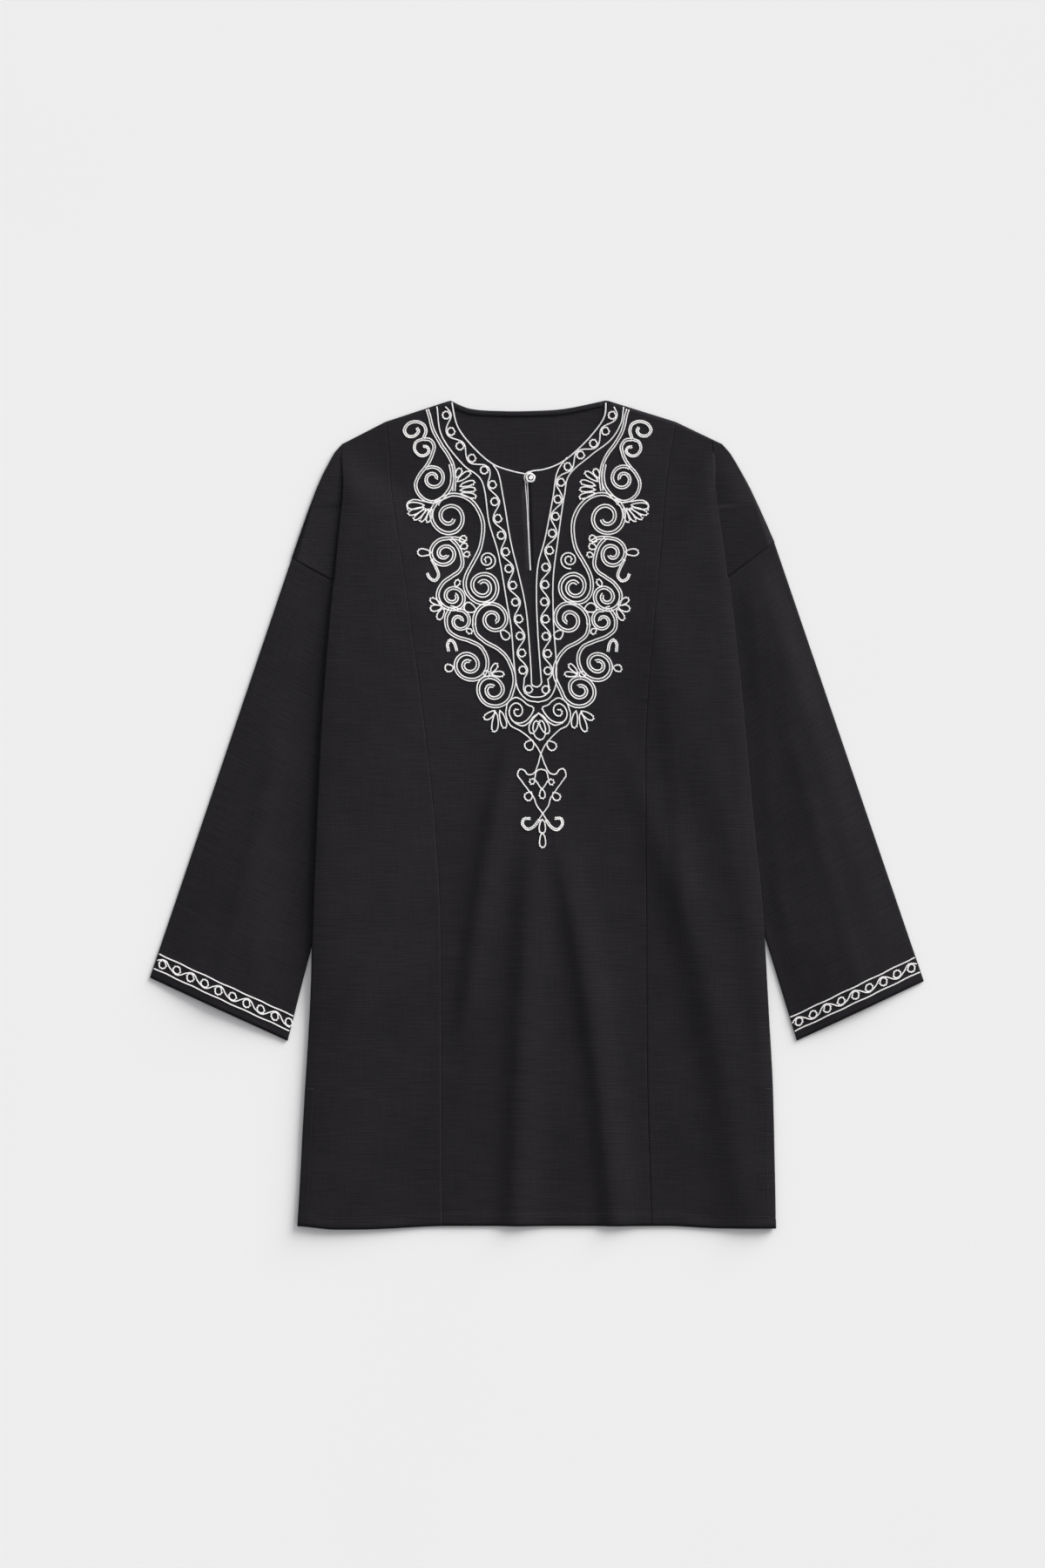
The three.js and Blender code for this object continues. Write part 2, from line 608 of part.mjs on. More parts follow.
const pieces = [
  ['back', back(), COLOURS.inside],
  ['sleeve_right', sleeve('right'), COLOURS.cloth],
  ['sleeve_left', sleeve('left'), COLOURS.cloth],
  ['front_side_right', sideFront('right'), COLOURS.cloth],
  ['front_side_left', sideFront('left'), COLOURS.cloth],
  ['front_center', frontCentre(), COLOURS.cloth],
  ['back_neck_binding', backNeckBinding(), COLOURS.inside],
  ['neck_cord_right', neckCord(neckRight.slice(1, -1), cordSideways), COLOURS.cord],
  ['neck_cord_left', neckCord(neckLeft.slice(1, -1), -cordSideways), COLOURS.cord],
  ['slit_cord_right', slitCord(-slitSideways), COLOURS.cord],
  ['slit_cord_left', slitCord(slitSideways), COLOURS.cord],
  ['button', button(), COLOURS.thread],
  ['button_loop', buttonLoop(), COLOURS.thread],
];

const kurta = new THREE.Group();
for (const [name, geometry, color] of pieces) {
  const mesh = new THREE.Mesh(geometry, fabric(color));
  mesh.name = name;
  kurta.add(mesh);
}

export default kurta;
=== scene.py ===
"""A straight kurta tunic laid flat, front up: cloth shells, corded neck and chain-stitch scrollwork."""
from types import SimpleNamespace

import bmesh
import bpy
import numpy as np
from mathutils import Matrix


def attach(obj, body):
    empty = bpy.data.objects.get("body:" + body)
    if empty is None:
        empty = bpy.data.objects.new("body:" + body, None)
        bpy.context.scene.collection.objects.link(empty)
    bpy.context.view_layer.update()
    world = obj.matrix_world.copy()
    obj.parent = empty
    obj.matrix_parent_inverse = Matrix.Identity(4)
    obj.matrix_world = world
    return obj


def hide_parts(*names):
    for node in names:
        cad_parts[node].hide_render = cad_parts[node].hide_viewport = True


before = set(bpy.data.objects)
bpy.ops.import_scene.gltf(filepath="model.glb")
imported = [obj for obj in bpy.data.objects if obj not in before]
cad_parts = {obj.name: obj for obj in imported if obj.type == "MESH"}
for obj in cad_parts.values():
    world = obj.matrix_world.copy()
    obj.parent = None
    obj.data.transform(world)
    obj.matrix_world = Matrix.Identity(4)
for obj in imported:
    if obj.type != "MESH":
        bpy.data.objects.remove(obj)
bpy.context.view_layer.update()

bl_info = {
    "name": "Kurta tunic laid flat",
    "version": (1, 0, 0),
    "blender": (4, 5, 0),
    "location": "3D View > Sidebar > Kurta",
    "description": "Builds a laid kurta tunic with corded neck and chain-stitch scrollwork",
    "category": "Object",
}

MM = 0.001
RIGHT, LEFT = "right", "left"      # the wearer's sides: right lies at -X

# ------------------------------------------------------------------ the cut, in millimetres
BACK_MID = 0.6          # middle of the back's wall in the laid stack
FRONT_MID = 2.2         # middle of the front's wall over the back
SEAM_GAP = 0.3          # air between two pieces at a seam
FOLD_RISE = {RIGHT: 9.6, LEFT: 6.2}     # front above the arm's upper layer, at the folded side
FOLD_REACH = {RIGHT: 140, LEFT: 80}     # how far in from the tucked cloth the front comes down again
FOLD_SHUT, FOLD_OPEN = 402, 345         # heights between which the fold opens below the shoulder
VENT_SINK = (-150, -245)                # heights between which the fold sinks beside the side vent
VENT_SHARE = 0.51       # how much of the fold's rise is left there
UNDERARM_Y = 208        # above this the front lies over the arm, and its tuck narrows
ARM_TUCK_TOP = (380, 6)                 # height at which the tuck over the arm is down to this width
SEAM_ALLOWANCE = 8
TURNED_SIDE = 12        # cloth turned under along the side vents
BEND_ROOM = 1.2         # the main layer ends this far short of the folded edge
SHOULDER_TOP = 447
SHOULDER_OUT = 424      # height of the shoulder seam's outer end
HEM_Y = -443.2
HEM_DIP = 3.6           # how far the hem dips under the side panels
HEM_LEFT_SHARE = 0.7    # the hem dips less on the wearer's left
HEM_TURN = 13           # depth of the turned hem
BACK_SHORT = 0.8        # the back's hem is this much higher
VENT_TOP = -296         # where the side vents begin
VENT_STITCH = 8         # how far in from the vent's edge its stitching runs
SLEEVE_LENGTH = 480
SLEEVE_PUFF = 3.2       # air inside the laid sleeve at its fullest
SHOULDER_PUFF = 2.3     # extra air at the head of the wearer's left sleeve
ARM_LIFT = {RIGHT: 0.7, LEFT: 1.7}      # crown of the upper arm layer beside the fold
SLIT_TOP = (-10.4, 366)
SLIT_END = (-5.4, 263)
BUTTON = (-5.6, 363.6)
LOOP_REACH = 6.6        # radius of the thread loop round the button
BINDING = dict(inner=-0.6, outer=-5.6, height=1.9, crown=0.35, wall=0.7)
# The stage, in metres.
FLOOR_HALF = 40.0
FLOOR_GAP = 0.0003      # the floor lies this far under the back
VIEW_HEIGHT = 1.692     # height of the view at the floor
VIEW_CENTRE = (-0.0141, 0.0334)

# The folded side edge and the princess seam at heights y.
BODY = {
    RIGHT: {
        "y": [445, 391, 353, 278, 203, 100, 0, -98, -211, -305, -446],
        "edge": [-203, -210, -208.7, -216.2, -222.8, -230.2, -234.8, -238.8, -242.5, -248.2, -255.8],
        "seam": [-164, -158.6, -156, -144.8, -134.2, -120.4, -109.6, -103.2, -102, -101.8, -100.6],
    },
    LEFT: {
        "y": [445, 391, 353, 278, 203, 100, 0, -98, -211, -305, -446],
        "edge": [190, 192.7, 194.6, 206.8, 215.3, 225.6, 234.4, 244.4, 251, 255.7, 258.5],
        "seam": [154.5, 145.6, 140.2, 134.2, 127, 119.4, 118.4, 119.4, 119.8, 120.8, 125],
    },
}
# Rows of the fold over the upper arm, from the shoulder seam to the dropped sleeve seam.
SHOULDER_FOLD = {
    RIGHT: {
        "seam_y": [424, 411, 397, 381, 361, 330, 285, 208],
        "rim_x": [-208.7, -217.1, -223, -229.2, -236.2, -244.6, -254.5, -263.2],
        "rim_y": [400, 390.6, 379.5, 368, 352, 330, 302, 276.8],
        "turn": [8, 10, 24, 62, 122, 180, 180, 180],
        "tuck": [1, 1, 1, 1, 1, 22, 42, 65],
    },
    LEFT: {
        "seam_y": [424, 411, 397, 381, 361, 330, 285, 196],
        "rim_x": [201.2, 209.6, 216.2, 223, 231.2, 240.6, 249.6, 257.6],
        "rim_y": [400, 390.6, 380, 368, 353, 333, 313, 294.7],
        "turn": [8, 10, 24, 62, 122, 180, 180, 180],
        "tuck": [1, 1, 1, 1, 1, 20, 42, 65],
    },
}
# Sleeve corners as laid: outer end of the dropped seam, underarm, and the two corners of the cuff.
SLEEVE = {
    RIGHT: {"top": (-263.2, 276.8), "underarm": (-150.4, 216.7),
            "outer": (-416.4, -175.3), "inner": (-267, -243.9)},
    LEFT: {"top": (257.6, 294.7), "underarm": (142.9, 207.3),
           "outer": (419.2, -179.1), "inner": (281.4, -243.6)},
}
# Soft folds in the laid front, head and foot in plan, with their rise and half width.
FRONT_FOLDS = [
    {"head": (-22, 95), "foot": (-72, -190), "rise": 3.8, "half": 15},
    {"head": (-3, -5), "foot": (-22, -440), "rise": 4.4, "half": 18},
    {"head": (22, -10), "foot": (84, -440), "rise": 4.4, "half": 17},
    {"head": (100, 80), "foot": (232, -420), "rise": 6.0, "half": 30},
    {"head": (180, 110), "foot": (248, -280), "rise": 2.0, "half": 13},
    {"head": (-145, -60), "foot": (-222, -310), "rise": 2.6, "half": 20},
    {"head": (122, 290), "foot": (158, -60), "rise": 1.6, "half": 14},
]
NECK_RIGHT = [(-92.1, 447), (-85.5, 418.8), (-71.4, 399), (-47, 377.4), (-23.5, 368.9), (-12.2, 366.6)]
NECK_LEFT = [(77.1, 447), (75.2, 429.1), (60.2, 407.5), (35.7, 384), (23.5, 376.4), (8.5, 371.2), (-4, 369.4),
             (-8.6, 366.6)]
BACK_NECK = [(-92.1, 447), (-71.4, 438.5), (-34.8, 435.7), (-2.8, 435.9), (30.1, 438), (77.1, 447.4)]

# ------------------------------------------------------------------ the embroidery chart, in millimetres
# Chart x runs from the embroidery's own centre line, which leans a little: the line at heights y.
CENTRE_LINE = {
    "y": [460, 340, 282, 244, 211, 163, 133, 65, 3, -40],
    "x": [-8.5, -8.5, -8, -7.5, -5, -2.8, 1, 5.6, 7.5, 7.5],
}

# Spirals of the wearer's right half: centre, outer and inner radius, entry angle and sweep in
# degrees (a positive sweep turns anticlockwise), and how fast the radius closes at first.
SPIRALS = {
    "collar": dict(at=(-102.5, 362.5), outer=13.5, inner=3, entry=125, sweep=-490, ease=1.0),
    "great": dict(at=(-84.5, 321), outer=21, inner=5, entry=125, sweep=565, ease=1.0),
    "third": dict(at=(-90, 281.5), outer=17, inner=3, entry=83, sweep=600, ease=0.9),
    "fourth": dict(at=(-49, 246), outer=20, inner=4.5, entry=165, sweep=690, ease=0.95),
    "bud": dict(at=(-44.5, 275), outer=10, inner=1.4, entry=262, sweep=700, ease=0.9),
    "fifth": dict(at=(-82.5, 235), outer=16.5, inner=3, entry=160, sweep=600, ease=0.9),
    "sixth": dict(at=(-77, 209), outer=12.5, inner=2.6, entry=100, sweep=-450, ease=1.0),
    "seventh": dict(at=(-41, 211), outer=21, inner=3.4, entry=197, sweep=-610, ease=0.85),
    "eighth": dict(at=(-69.5, 162), outer=22, inner=3.4, entry=30, sweep=-680, ease=0.7),
    "ninth": dict(at=(-47, 135), outer=20, inner=3.6, entry=-30, sweep=-620, ease=0.9),
}
# Strokes of the right half: points of the stem, then the spiral it runs into, and its rows of chain.
STROKES = [
    dict(stem=[(-112.5, 405), (-110, 413), (-112, 420), (-119, 424), (-127.5, 422.5), (-132.5, 415.5),
               (-129.5, 409.5), (-123, 408.5), (-118, 413), (-119.5, 417)], rows=2, spread=2.0),
    dict(stem=[(-112.5, 405), (-119.5, 402), (-122, 395), (-118.5, 389), (-112.5, 387.5), (-107, 391),
               (-107.5, 395.5), (-112, 397)], rows=2, spread=1.8),
    dict(stem=[(-112.5, 405), (-105.5, 404), (-101, 398.5), (-102, 391), (-106, 382), (-110, 376),
               (-116.5, 367.5), (-120.5, 357), (-118, 347), (-110.5, 340), (-102, 338), (-94, 341)],
         rows=2, spread=2.4),
    dict(stem=[], spiral="collar", rows=2, spread=2.4),
    dict(stem=[(-108.4, 437.6), (-106.3, 430.5), (-102.5, 415.5), (-94, 400.5), (-86, 389), (-80.5, 377),
               (-79, 363.5), (-80, 350)], rows=2, spread=2.5),
    dict(stem=[(-83, 378), (-81.5, 367.5), (-83, 355.5), (-88.5, 346), (-96.5, 338)],
         spiral="great", rows=2, spread=2.9),
    dict(stem=[(-94, 341), (-82, 345.5), (-69, 343), (-58, 335), (-50, 321), (-48, 307.5), (-51.5, 289),
               (-59.5, 273), (-66, 259.5)], spiral="fourth", rows=2, spread=3.0),
    dict(stem=[(-68, 294), (-76, 298)], spiral="third", rows=2, spread=2.7),
    dict(stem=[(-84.5, 299), (-77, 291), (-72.5, 281), (-71, 270), (-74.5, 263), (-82, 257.5),
               (-92, 250.5)], spiral="fifth", rows=2, spread=2.7),
    dict(stem=[], spiral="bud", rows=1),
    dict(stem=[(-86, 224), (-81, 222.5)], spiral="sixth", rows=2, spread=2.4),
    dict(stem=[(-86, 222), (-91, 212), (-90, 200), (-81, 192), (-68, 187.5), (-56, 182)],
         spiral="eighth", rows=2, spread=2.8),
    dict(stem=[], spiral="seventh", rows=2, spread=2.8),
    dict(stem=[(-62, 206), (-59, 195), (-50, 187), (-37, 179.5), (-28, 170), (-23, 158), (-22.5, 147),
               (-26, 134)], spiral="ninth", rows=2, spread=2.8),
    dict(stem=[(-104, 275.5), (-100, 267.5), (-97, 258.5), (-100.5, 253), (-106, 254.5), (-109, 259.5)],
         rows=2, spread=1.8),
    dict(stem=[(-81.5, 176), (-84, 184.5), (-87.5, 188), (-91, 184.5), (-90.5, 176.5)], rows=2, spread=1.8),
    dict(stem=[(-102.5, 337), (-110, 338), (-123.5, 339.5), (-129.5, 336), (-130, 329)], rows=1),
    dict(stem=[(-35, 110.5), (-31.5, 120.5), (-23.5, 126), (-16.5, 123.5), (-11, 119), (-5.5, 116.5),
               (-5.5, 112), (-12, 103), (-19.5, 99.5), (-27, 101), (-31, 108), (-29.5, 115.5), (-24, 120),
               (-18.8, 118.5), (-16.6, 113.5), (-18.5, 108.5), (-22.5, 107), (-25.4, 110), (-24, 113.5),
               (-21.5, 112.5)], rows=1),
    dict(stem=[(-26.5, 99.5), (-18.5, 96.5), (-11, 99.5), (-5.5, 105.5), (0, 109.5)], rows=1),
    dict(stem=[(-35, 110.5), (-34.5, 104.5), (-31, 97), (-21.5, 91), (-11, 82), (-5, 75), (0, 65.5),
               (4, 54), (8.5, 45.5), (14.5, 44), (18.5, 48), (22.5, 49.5), (26, 44), (21.5, 35.5),
               (15.5, 27.5), (9, 18.5), (6, 10), (0, 1), (-4, -6)], rows=1),
    dict(stem=[(-3, -5), (-9, -12.5), (-15.5, -15.5), (-21, -11), (-20, -5), (-13.5, -4)],
         rows=2, spread=1.8),
    dict(stem=[(0, 109.5), (-6, 103), (-10.5, 96), (-10.5, 89), (-7, 88)], rows=1),
    dict(stem=[(-7, 88.5), (-4.5, 83.5), (0, 81)], rows=1),
    dict(stem=[(-7.5, 38), (-5, 46.5), (0, 49)], rows=1),
    dict(stem=[(-6.5, 37), (-3, 31.5), (0, 27.5)], rows=1),
]
# Petal loops of the right half: foot, direction in degrees, length and width.
LOOPS = [
    dict(at=(-77, 364), point=62, long=10, wide=6),
    dict(at=(-76, 360), point=36, long=17, wide=6),
    dict(at=(-73, 355), point=16, long=16, wide=5.5),
    dict(at=(-73, 350.5), point=2, long=16, wide=5.5),
    dict(at=(-73, 346.5), point=-12, long=17, wide=5.5),
    dict(at=(-112, 334), point=184, long=18, wide=7.5),
    dict(at=(-112, 331.5), point=203, long=18, wide=6),
    dict(at=(-110, 330), point=222, long=17, wide=5),
    dict(at=(-107, 330), point=238, long=16, wide=4.6),
    dict(at=(-103.5, 331), point=253, long=16, wide=5),
    dict(at=(-104.5, 283), point=180, long=14, wide=8),
    dict(at=(-74, 295), point=35, long=8, wide=6.5),
    dict(at=(-73.5, 288), point=20, long=7.5, wide=6),
    dict(at=(-70, 281), point=0, long=6, wide=5),
    dict(at=(-79, 246), point=62, long=8, wide=5),
    dict(at=(-95, 226), point=150, long=13, wide=6),
    dict(at=(-95, 224), point=192, long=12, wide=7),
    dict(at=(-93, 222), point=240, long=13, wide=6.5),
    dict(at=(-69.5, 200.5), point=-42, long=6.5, wide=5),
    dict(at=(-59, 221), point=160, long=12.5, wide=10.5),
    dict(at=(-33, 199), point=-48, long=11.5, wide=8.5),
    dict(at=(-86, 159), point=188, long=8.5, wide=7.5),
    dict(at=(-47, 153), point=52, long=12, wide=5),
    dict(at=(-46, 151.5), point=4, long=12.5, wide=5.5),
    dict(at=(-50, 149), point=120, long=6, wide=6),
    dict(at=(-47, 111.5), point=216, long=14, wide=6.5),
    dict(at=(-46, 110), point=262, long=20, wide=7),
    dict(at=(-41, 112), point=282, long=18, wide=6.5),
    dict(at=(-8.5, 79.5), point=232, long=10.5, wide=9.5),
    dict(at=(-6, 89), point=72, long=12.5, wide=5),
    dict(at=(-7.5, 37), point=205, long=5.5, wide=5),
    dict(at=(-12, 24), point=232, long=9, wide=8),
]
CENTRE_LOOPS = [
    dict(at=(0, 28), point=270, long=9.5, wide=6),
    dict(at=(0, -5.5), point=270, long=14, wide=7),
    dict(at=(0, -19.5), point=270, long=15, wide=7),
]
# The two rails of each neck band, from the shoulder down to where the bands meet below the slit.
BAND_RAILS = {
    RIGHT: {
        "inner": [(-88.5, 440), (-83, 419), (-69, 399.6), (-47.5, 379), (-41, 370), (-35, 342.5),
                  (-26.5, 293), (-17, 254.5), (-10.5, 222.5), (-5.8, 169.5), (-4.5, 146)],
        "outer": [(-106.5, 440.5), (-101.5, 409.5), (-78, 377.5), (-59, 361.5), (-50, 314.5),
                  (-40.5, 282.5), (-31, 229), (-26.5, 202.5), (-22.5, 156.5), (-19, 136), (-9.5, 124.5),
                  (3, 121.5)],
    },
    LEFT: {
        "inner": [(73.6, 440), (71.8, 430), (57.6, 409), (34, 385.5), (23.5, 370), (19, 344.5),
                  (9.5, 295.5), (3, 272), (1, 249.5), (2, 202.5), (6, 146)],
        "outer": [(95, 440), (92, 422.5), (82, 405.5), (60, 388), (36, 366), (31, 344.5), (23.5, 293),
                  (19, 256), (19, 213), (21.5, 139.5), (14, 125.5), (3, 121.5)],
    },
}
BAND_RINGS = 17
BAND_FOOT = 146          # height at which the two bands turn to meet, below the slit
RAIL_START = {RIGHT: 378, LEFT: 386}     # above this the neck cord itself edges the band
BAND_WAVE = dict(swing=4.6, ring=3.7, first=0.5)
CUFF_WAVE = dict(swing=4.3, ring=3.8, first=0.45)
CUFF = dict(lower=11.0, upper=27.5, pitch=16.8)      # heights of its rails above the cuff's edge

# ------------------------------------------------------------------ surfaces of the laid cloth


def smooth(start, end, value):
    t = np.clip((np.asarray(value, float) - start) / (end - start), 0, 1)
    return t * t * (3 - 2 * t)


def mix(a, b, t):
    return a + (b - a) * t


def read(table, y, column):
    """Smooth reading of one column of a table whose y falls from row to row."""
    ys = np.array(table["y"], float)
    values = np.array(table[column], float)
    slopes = np.empty(len(ys))
    slopes[1:-1] = (values[2:] - values[:-2]) / (ys[2:] - ys[:-2])
    slopes[0] = (values[1] - values[0]) / (ys[1] - ys[0])
    slopes[-1] = (values[-1] - values[-2]) / (ys[-1] - ys[-2])
    y = np.asarray(y, float)
    i = np.clip(np.searchsorted(-ys, -y, side="right") - 1, 0, len(ys) - 2)
    span = ys[i + 1] - ys[i]
    t = (y - ys[i]) / span
    t2, t3 = t * t, t * t * t
    return ((2 * t3 - 3 * t2 + 1) * values[i] + (t3 - 2 * t2 + t) * span * slopes[i]
            + (3 * t2 - 2 * t3) * values[i + 1] + (t3 - t2) * span * slopes[i + 1])


def edge_of(x, y):
    """How far out the folded side edge lies at height y, on the side that x is on."""
    return np.where(x < 0, -read(BODY[RIGHT], y, "edge"), read(BODY[LEFT], y, "edge"))


def side_seam(side, y):
    """Where the side seam lies hidden under the fold: along the sleeve's inner edge."""
    arm, cuff = SLEEVE[side]["underarm"], SLEEVE[side]["inner"]
    return mix(arm[0], cuff[0], (np.asarray(y, float) - arm[1]) / (cuff[1] - arm[1]))


def tuck_at(side, y):
    """Width of the cloth tucked under the fold: to the side seam, or to the vent's turned edge."""
    hidden = np.abs(read(BODY[side], y, "edge")) - np.abs(side_seam(side, y)) + SEAM_ALLOWANCE
    return np.maximum(TURNED_SIDE, hidden)


def hem_at(x):
    """The hem runs straight across the centre and dips a little under each side panel."""
    right = smooth(-90, -190, x) * smooth(-256, -215, x)
    left = HEM_LEFT_SHARE * smooth(140, 200, x)
    return HEM_Y - HEM_DIP * (right + left)


def fold_relief(x, y):
    """Soft folds, each steeper on its left face than on its right."""
    rise = 0.0
    for fold in FRONT_FOLDS:
        (hx, hy), (fx, fy) = fold["head"], fold["foot"]
        along = (hy - y) / (hy - fy)
        centre = mix(hx, fx, along + 0.12 * np.sin(np.pi * along))
        fade = smooth(-0.1, 0.35, along) * (1 - smooth(1.0, 1.3, along))
        half = fold["half"] * np.where(x < centre, 0.75, 1.25)
        rise = rise + fold["rise"] * fade * np.exp(-(((x - centre) / half) ** 2))
    return rise


def ripple(x, y):
    """Faint unevenness of washed and pressed cloth, some 0.3 mm high."""
    waves = [(0.071, 0.013, 0.4, 0.10), (-0.029, 0.062, 1.7, 0.09),
             (0.113, -0.047, 2.9, 0.06), (0.041, 0.137, 0.8, 0.05)]
    return sum(high * np.sin(kx * x + ky * y + phase + 1.3 * np.sin(0.021 * x - 0.017 * y + phase))
               for kx, ky, phase, high in waves)


def seam_relief(x, y):
    """A shallow groove with small puckers beside each princess seam."""
    relief = 0.0
    for side in (RIGHT, LEFT):
        away = x - read(BODY[side], y, "seam")
        pucker = 0.10 * np.exp(-((away / 6.0) ** 2)) * np.sin(y / 3.4 + 2.1 * np.sin(y / 17.0))
        groove = 0.03 * np.exp(-((away / 4.0) ** 2)) - 0.18 * np.exp(-((away / 0.8) ** 2))
        relief = relief + groove + pucker
    return relief


def hem_relief(x, y):
    """The turned hem is thicker, and its stitching pulls a fine groove."""
    up = y - hem_at(x)
    groove = -0.45 * np.exp(-(((up - HEM_TURN) / 1.3) ** 2)) * (0.8 + 0.2 * np.sin(x / 2.1))
    return 0.5 * smooth(HEM_TURN + 1, HEM_TURN - 1, up) + groove


def front_height(x, y):
    """Middle of the front's wall, as the frame's solids have it."""
    x, y = np.asarray(x, float), np.asarray(y, float)
    inside = edge_of(x, y) - np.abs(x)
    low = np.where(x < 0, tuck_at(RIGHT, y), tuck_at(LEFT, y))
    arm = np.where(x < 0, tuck_at(RIGHT, UNDERARM_Y), tuck_at(LEFT, UNDERARM_Y))
    top_y, top_tuck = ARM_TUCK_TOP
    tuck = np.where(y > UNDERARM_Y, mix(arm, top_tuck, smooth(UNDERARM_Y, top_y, y)), low)
    reach = np.where(x < 0, FOLD_REACH[RIGHT], FOLD_REACH[LEFT]) * mix(1, 0.3, smooth(250, 400, y))
    near = 1 - smooth(0, 1, (inside - (tuck - top_tuck)) / reach)
    opening = smooth(FOLD_SHUT, FOLD_OPEN, y) * mix(1, VENT_SHARE, smooth(*VENT_SINK, y))
    rise = np.where(x < 0, FOLD_RISE[RIGHT], FOLD_RISE[LEFT]) * mix(0.55, 1, smooth(340, 60, y))
    return FRONT_MID + rise * opening * near + fold_relief(x, y) * mix(0.25, 1, 1 - near)


def front_surface(x, y):
    """Middle of the front shell, with the cloth's fine relief."""
    edge = -np.exp(-(((edge_of(x, y) - np.abs(x)) / 7.0) ** 2)) * smooth(FOLD_SHUT, FOLD_OPEN, y)
    return front_height(x, y) + edge + ripple(x, y) + seam_relief(x, y) + hem_relief(x, y)


def sleeve_line(side, t):
    """The two ends of a crosswise line of the sleeve, t from the armhole to the cuff."""
    corners = SLEEVE[side]
    ends = []
    for start, end in (("top", "outer"), ("underarm", "inner")):
        ends.append(np.stack([mix(corners[start][k], corners[end][k], t) for k in (0, 1)], -1))
    return ends


def sleeve_height(side, x, y, f, t):
    """Middle of the sleeve's upper layer: f runs across from the outer edge, t down to the cuff."""
    free = np.abs(x) - edge_of(x, y)
    puff = SLEEVE_PUFF * np.sin(np.pi * np.clip(f, 0, 1)) * smooth(16, 70, free) * smooth(0, 0.2, t)
    lean = 1 + 0.25 * np.sin(5.1 * t + 2.0 * f + (0.6 if side == LEFT else 2.2))
    if side == LEFT:
        head = smooth(1, 24, free) * smooth(0, 0.22, f) * smooth(1, 0.8, f)
        puff = puff + SHOULDER_PUFF * head * smooth(-0.02, 0.10, t) * smooth(1.02, 0.75, t)
    crease = 0.8 * np.exp(-(((f - 0.30 - 0.16 * t) / 0.07) ** 2)) * smooth(0.25, 0.5, t) * smooth(8, 40, free)
    return FRONT_MID + puff * lean + crease + ripple(x * 1.1, y * 0.9) * smooth(2, 18, free)


# ------------------------------------------------------------------ meshes


def new_object(name, points, faces, material, uv=None):
    """One smooth-shaded piece from points in millimetres; uv holds its place along the cloth's grain."""
    mesh = bpy.data.meshes.new(name)
    points = np.asarray(points, float) * MM
    mesh.from_pydata(points.tolist(), [], faces if isinstance(faces, list) else faces.tolist())
    mesh.polygons.foreach_set("use_smooth", [True] * len(mesh.polygons))
    if uv is not None:
        layer = mesh.uv_layers.new(name="grain")
        corner = np.empty(len(mesh.loops), int)
        mesh.loops.foreach_get("vertex_index", corner)
        layer.data.foreach_set("uv", (np.asarray(uv, float)[corner] * MM).ravel())
    mesh.materials.append(material)
    mesh.update()
    piece = bpy.data.objects.new(name, mesh)
    bpy.context.scene.collection.objects.link(piece)
    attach(piece, "root")
    return piece


def grid_normals(points):
    """Unit normals of a grid of points."""
    along = np.gradient(points, axis=0)
    across = np.gradient(points, axis=1)
    normal = np.cross(along, across)
    length = np.linalg.norm(normal, axis=-1, keepdims=True)
    return normal / np.maximum(length, 1e-9)


def shell(name, points, cloth, thickness, flip, uv, material, joined=None):
    """A closed wall of cloth about a grid of middle points. cloth says which cells are there,
    and joined which empty ones have no width, so that their sides meet and take no rim."""
    rows, columns, _ = points.shape
    out = grid_normals(points) * (-1 if flip else 1)
    if joined is not None:
        row, column = np.nonzero(joined)
        for k in (0, 1):
            shared_out = out[row + k, column] + out[row + k, column + 1]
            shared_out /= np.linalg.norm(shared_out, axis=-1, keepdims=True)
            out[row + k, column] = shared_out
            out[row + k, column + 1] = shared_out
    both = np.concatenate([(points + way * out * thickness / 2).reshape(-1, 3) for way in (1, -1)])
    under = rows * columns
    index = np.arange(under).reshape(rows, columns)
    a, b, c, d = index[:-1, :-1], index[1:, :-1], index[1:, 1:], index[:-1, 1:]
    top = np.stack([a, b, c, d], -1)[cloth]
    padded = np.pad(cloth if joined is None else cloth | joined, 1)
    faces = [top, top[:, ::-1] + under]
    for start, end, neighbour in ((b, a, padded[1:-1, :-2]), (c, b, padded[2:, 1:-1]),
                                  (d, c, padded[1:-1, 2:]), (a, d, padded[:-2, 1:-1])):
        rim = cloth & ~neighbour
        p, q = start[rim], end[rim]
        faces.append(np.stack([p, q, q + under, p + under], -1))
    faces = np.concatenate(faces)
    if flip:
        faces = faces[:, ::-1]
    used, inverse = np.unique(faces, return_inverse=True)
    grain = np.concatenate([uv.reshape(-1, 2)] * 2)
    return new_object(name, both[used], inverse.reshape(faces.shape), material, grain[used])


def weld(piece, distance=0.02):
    """Joins points that lie on each other, where a tube closes or two halves meet."""
    work = bmesh.new()
    work.from_mesh(piece.data)
    bmesh.ops.remove_doubles(work, verts=work.verts, dist=distance * MM)
    work.to_mesh(piece.data)
    work.free()


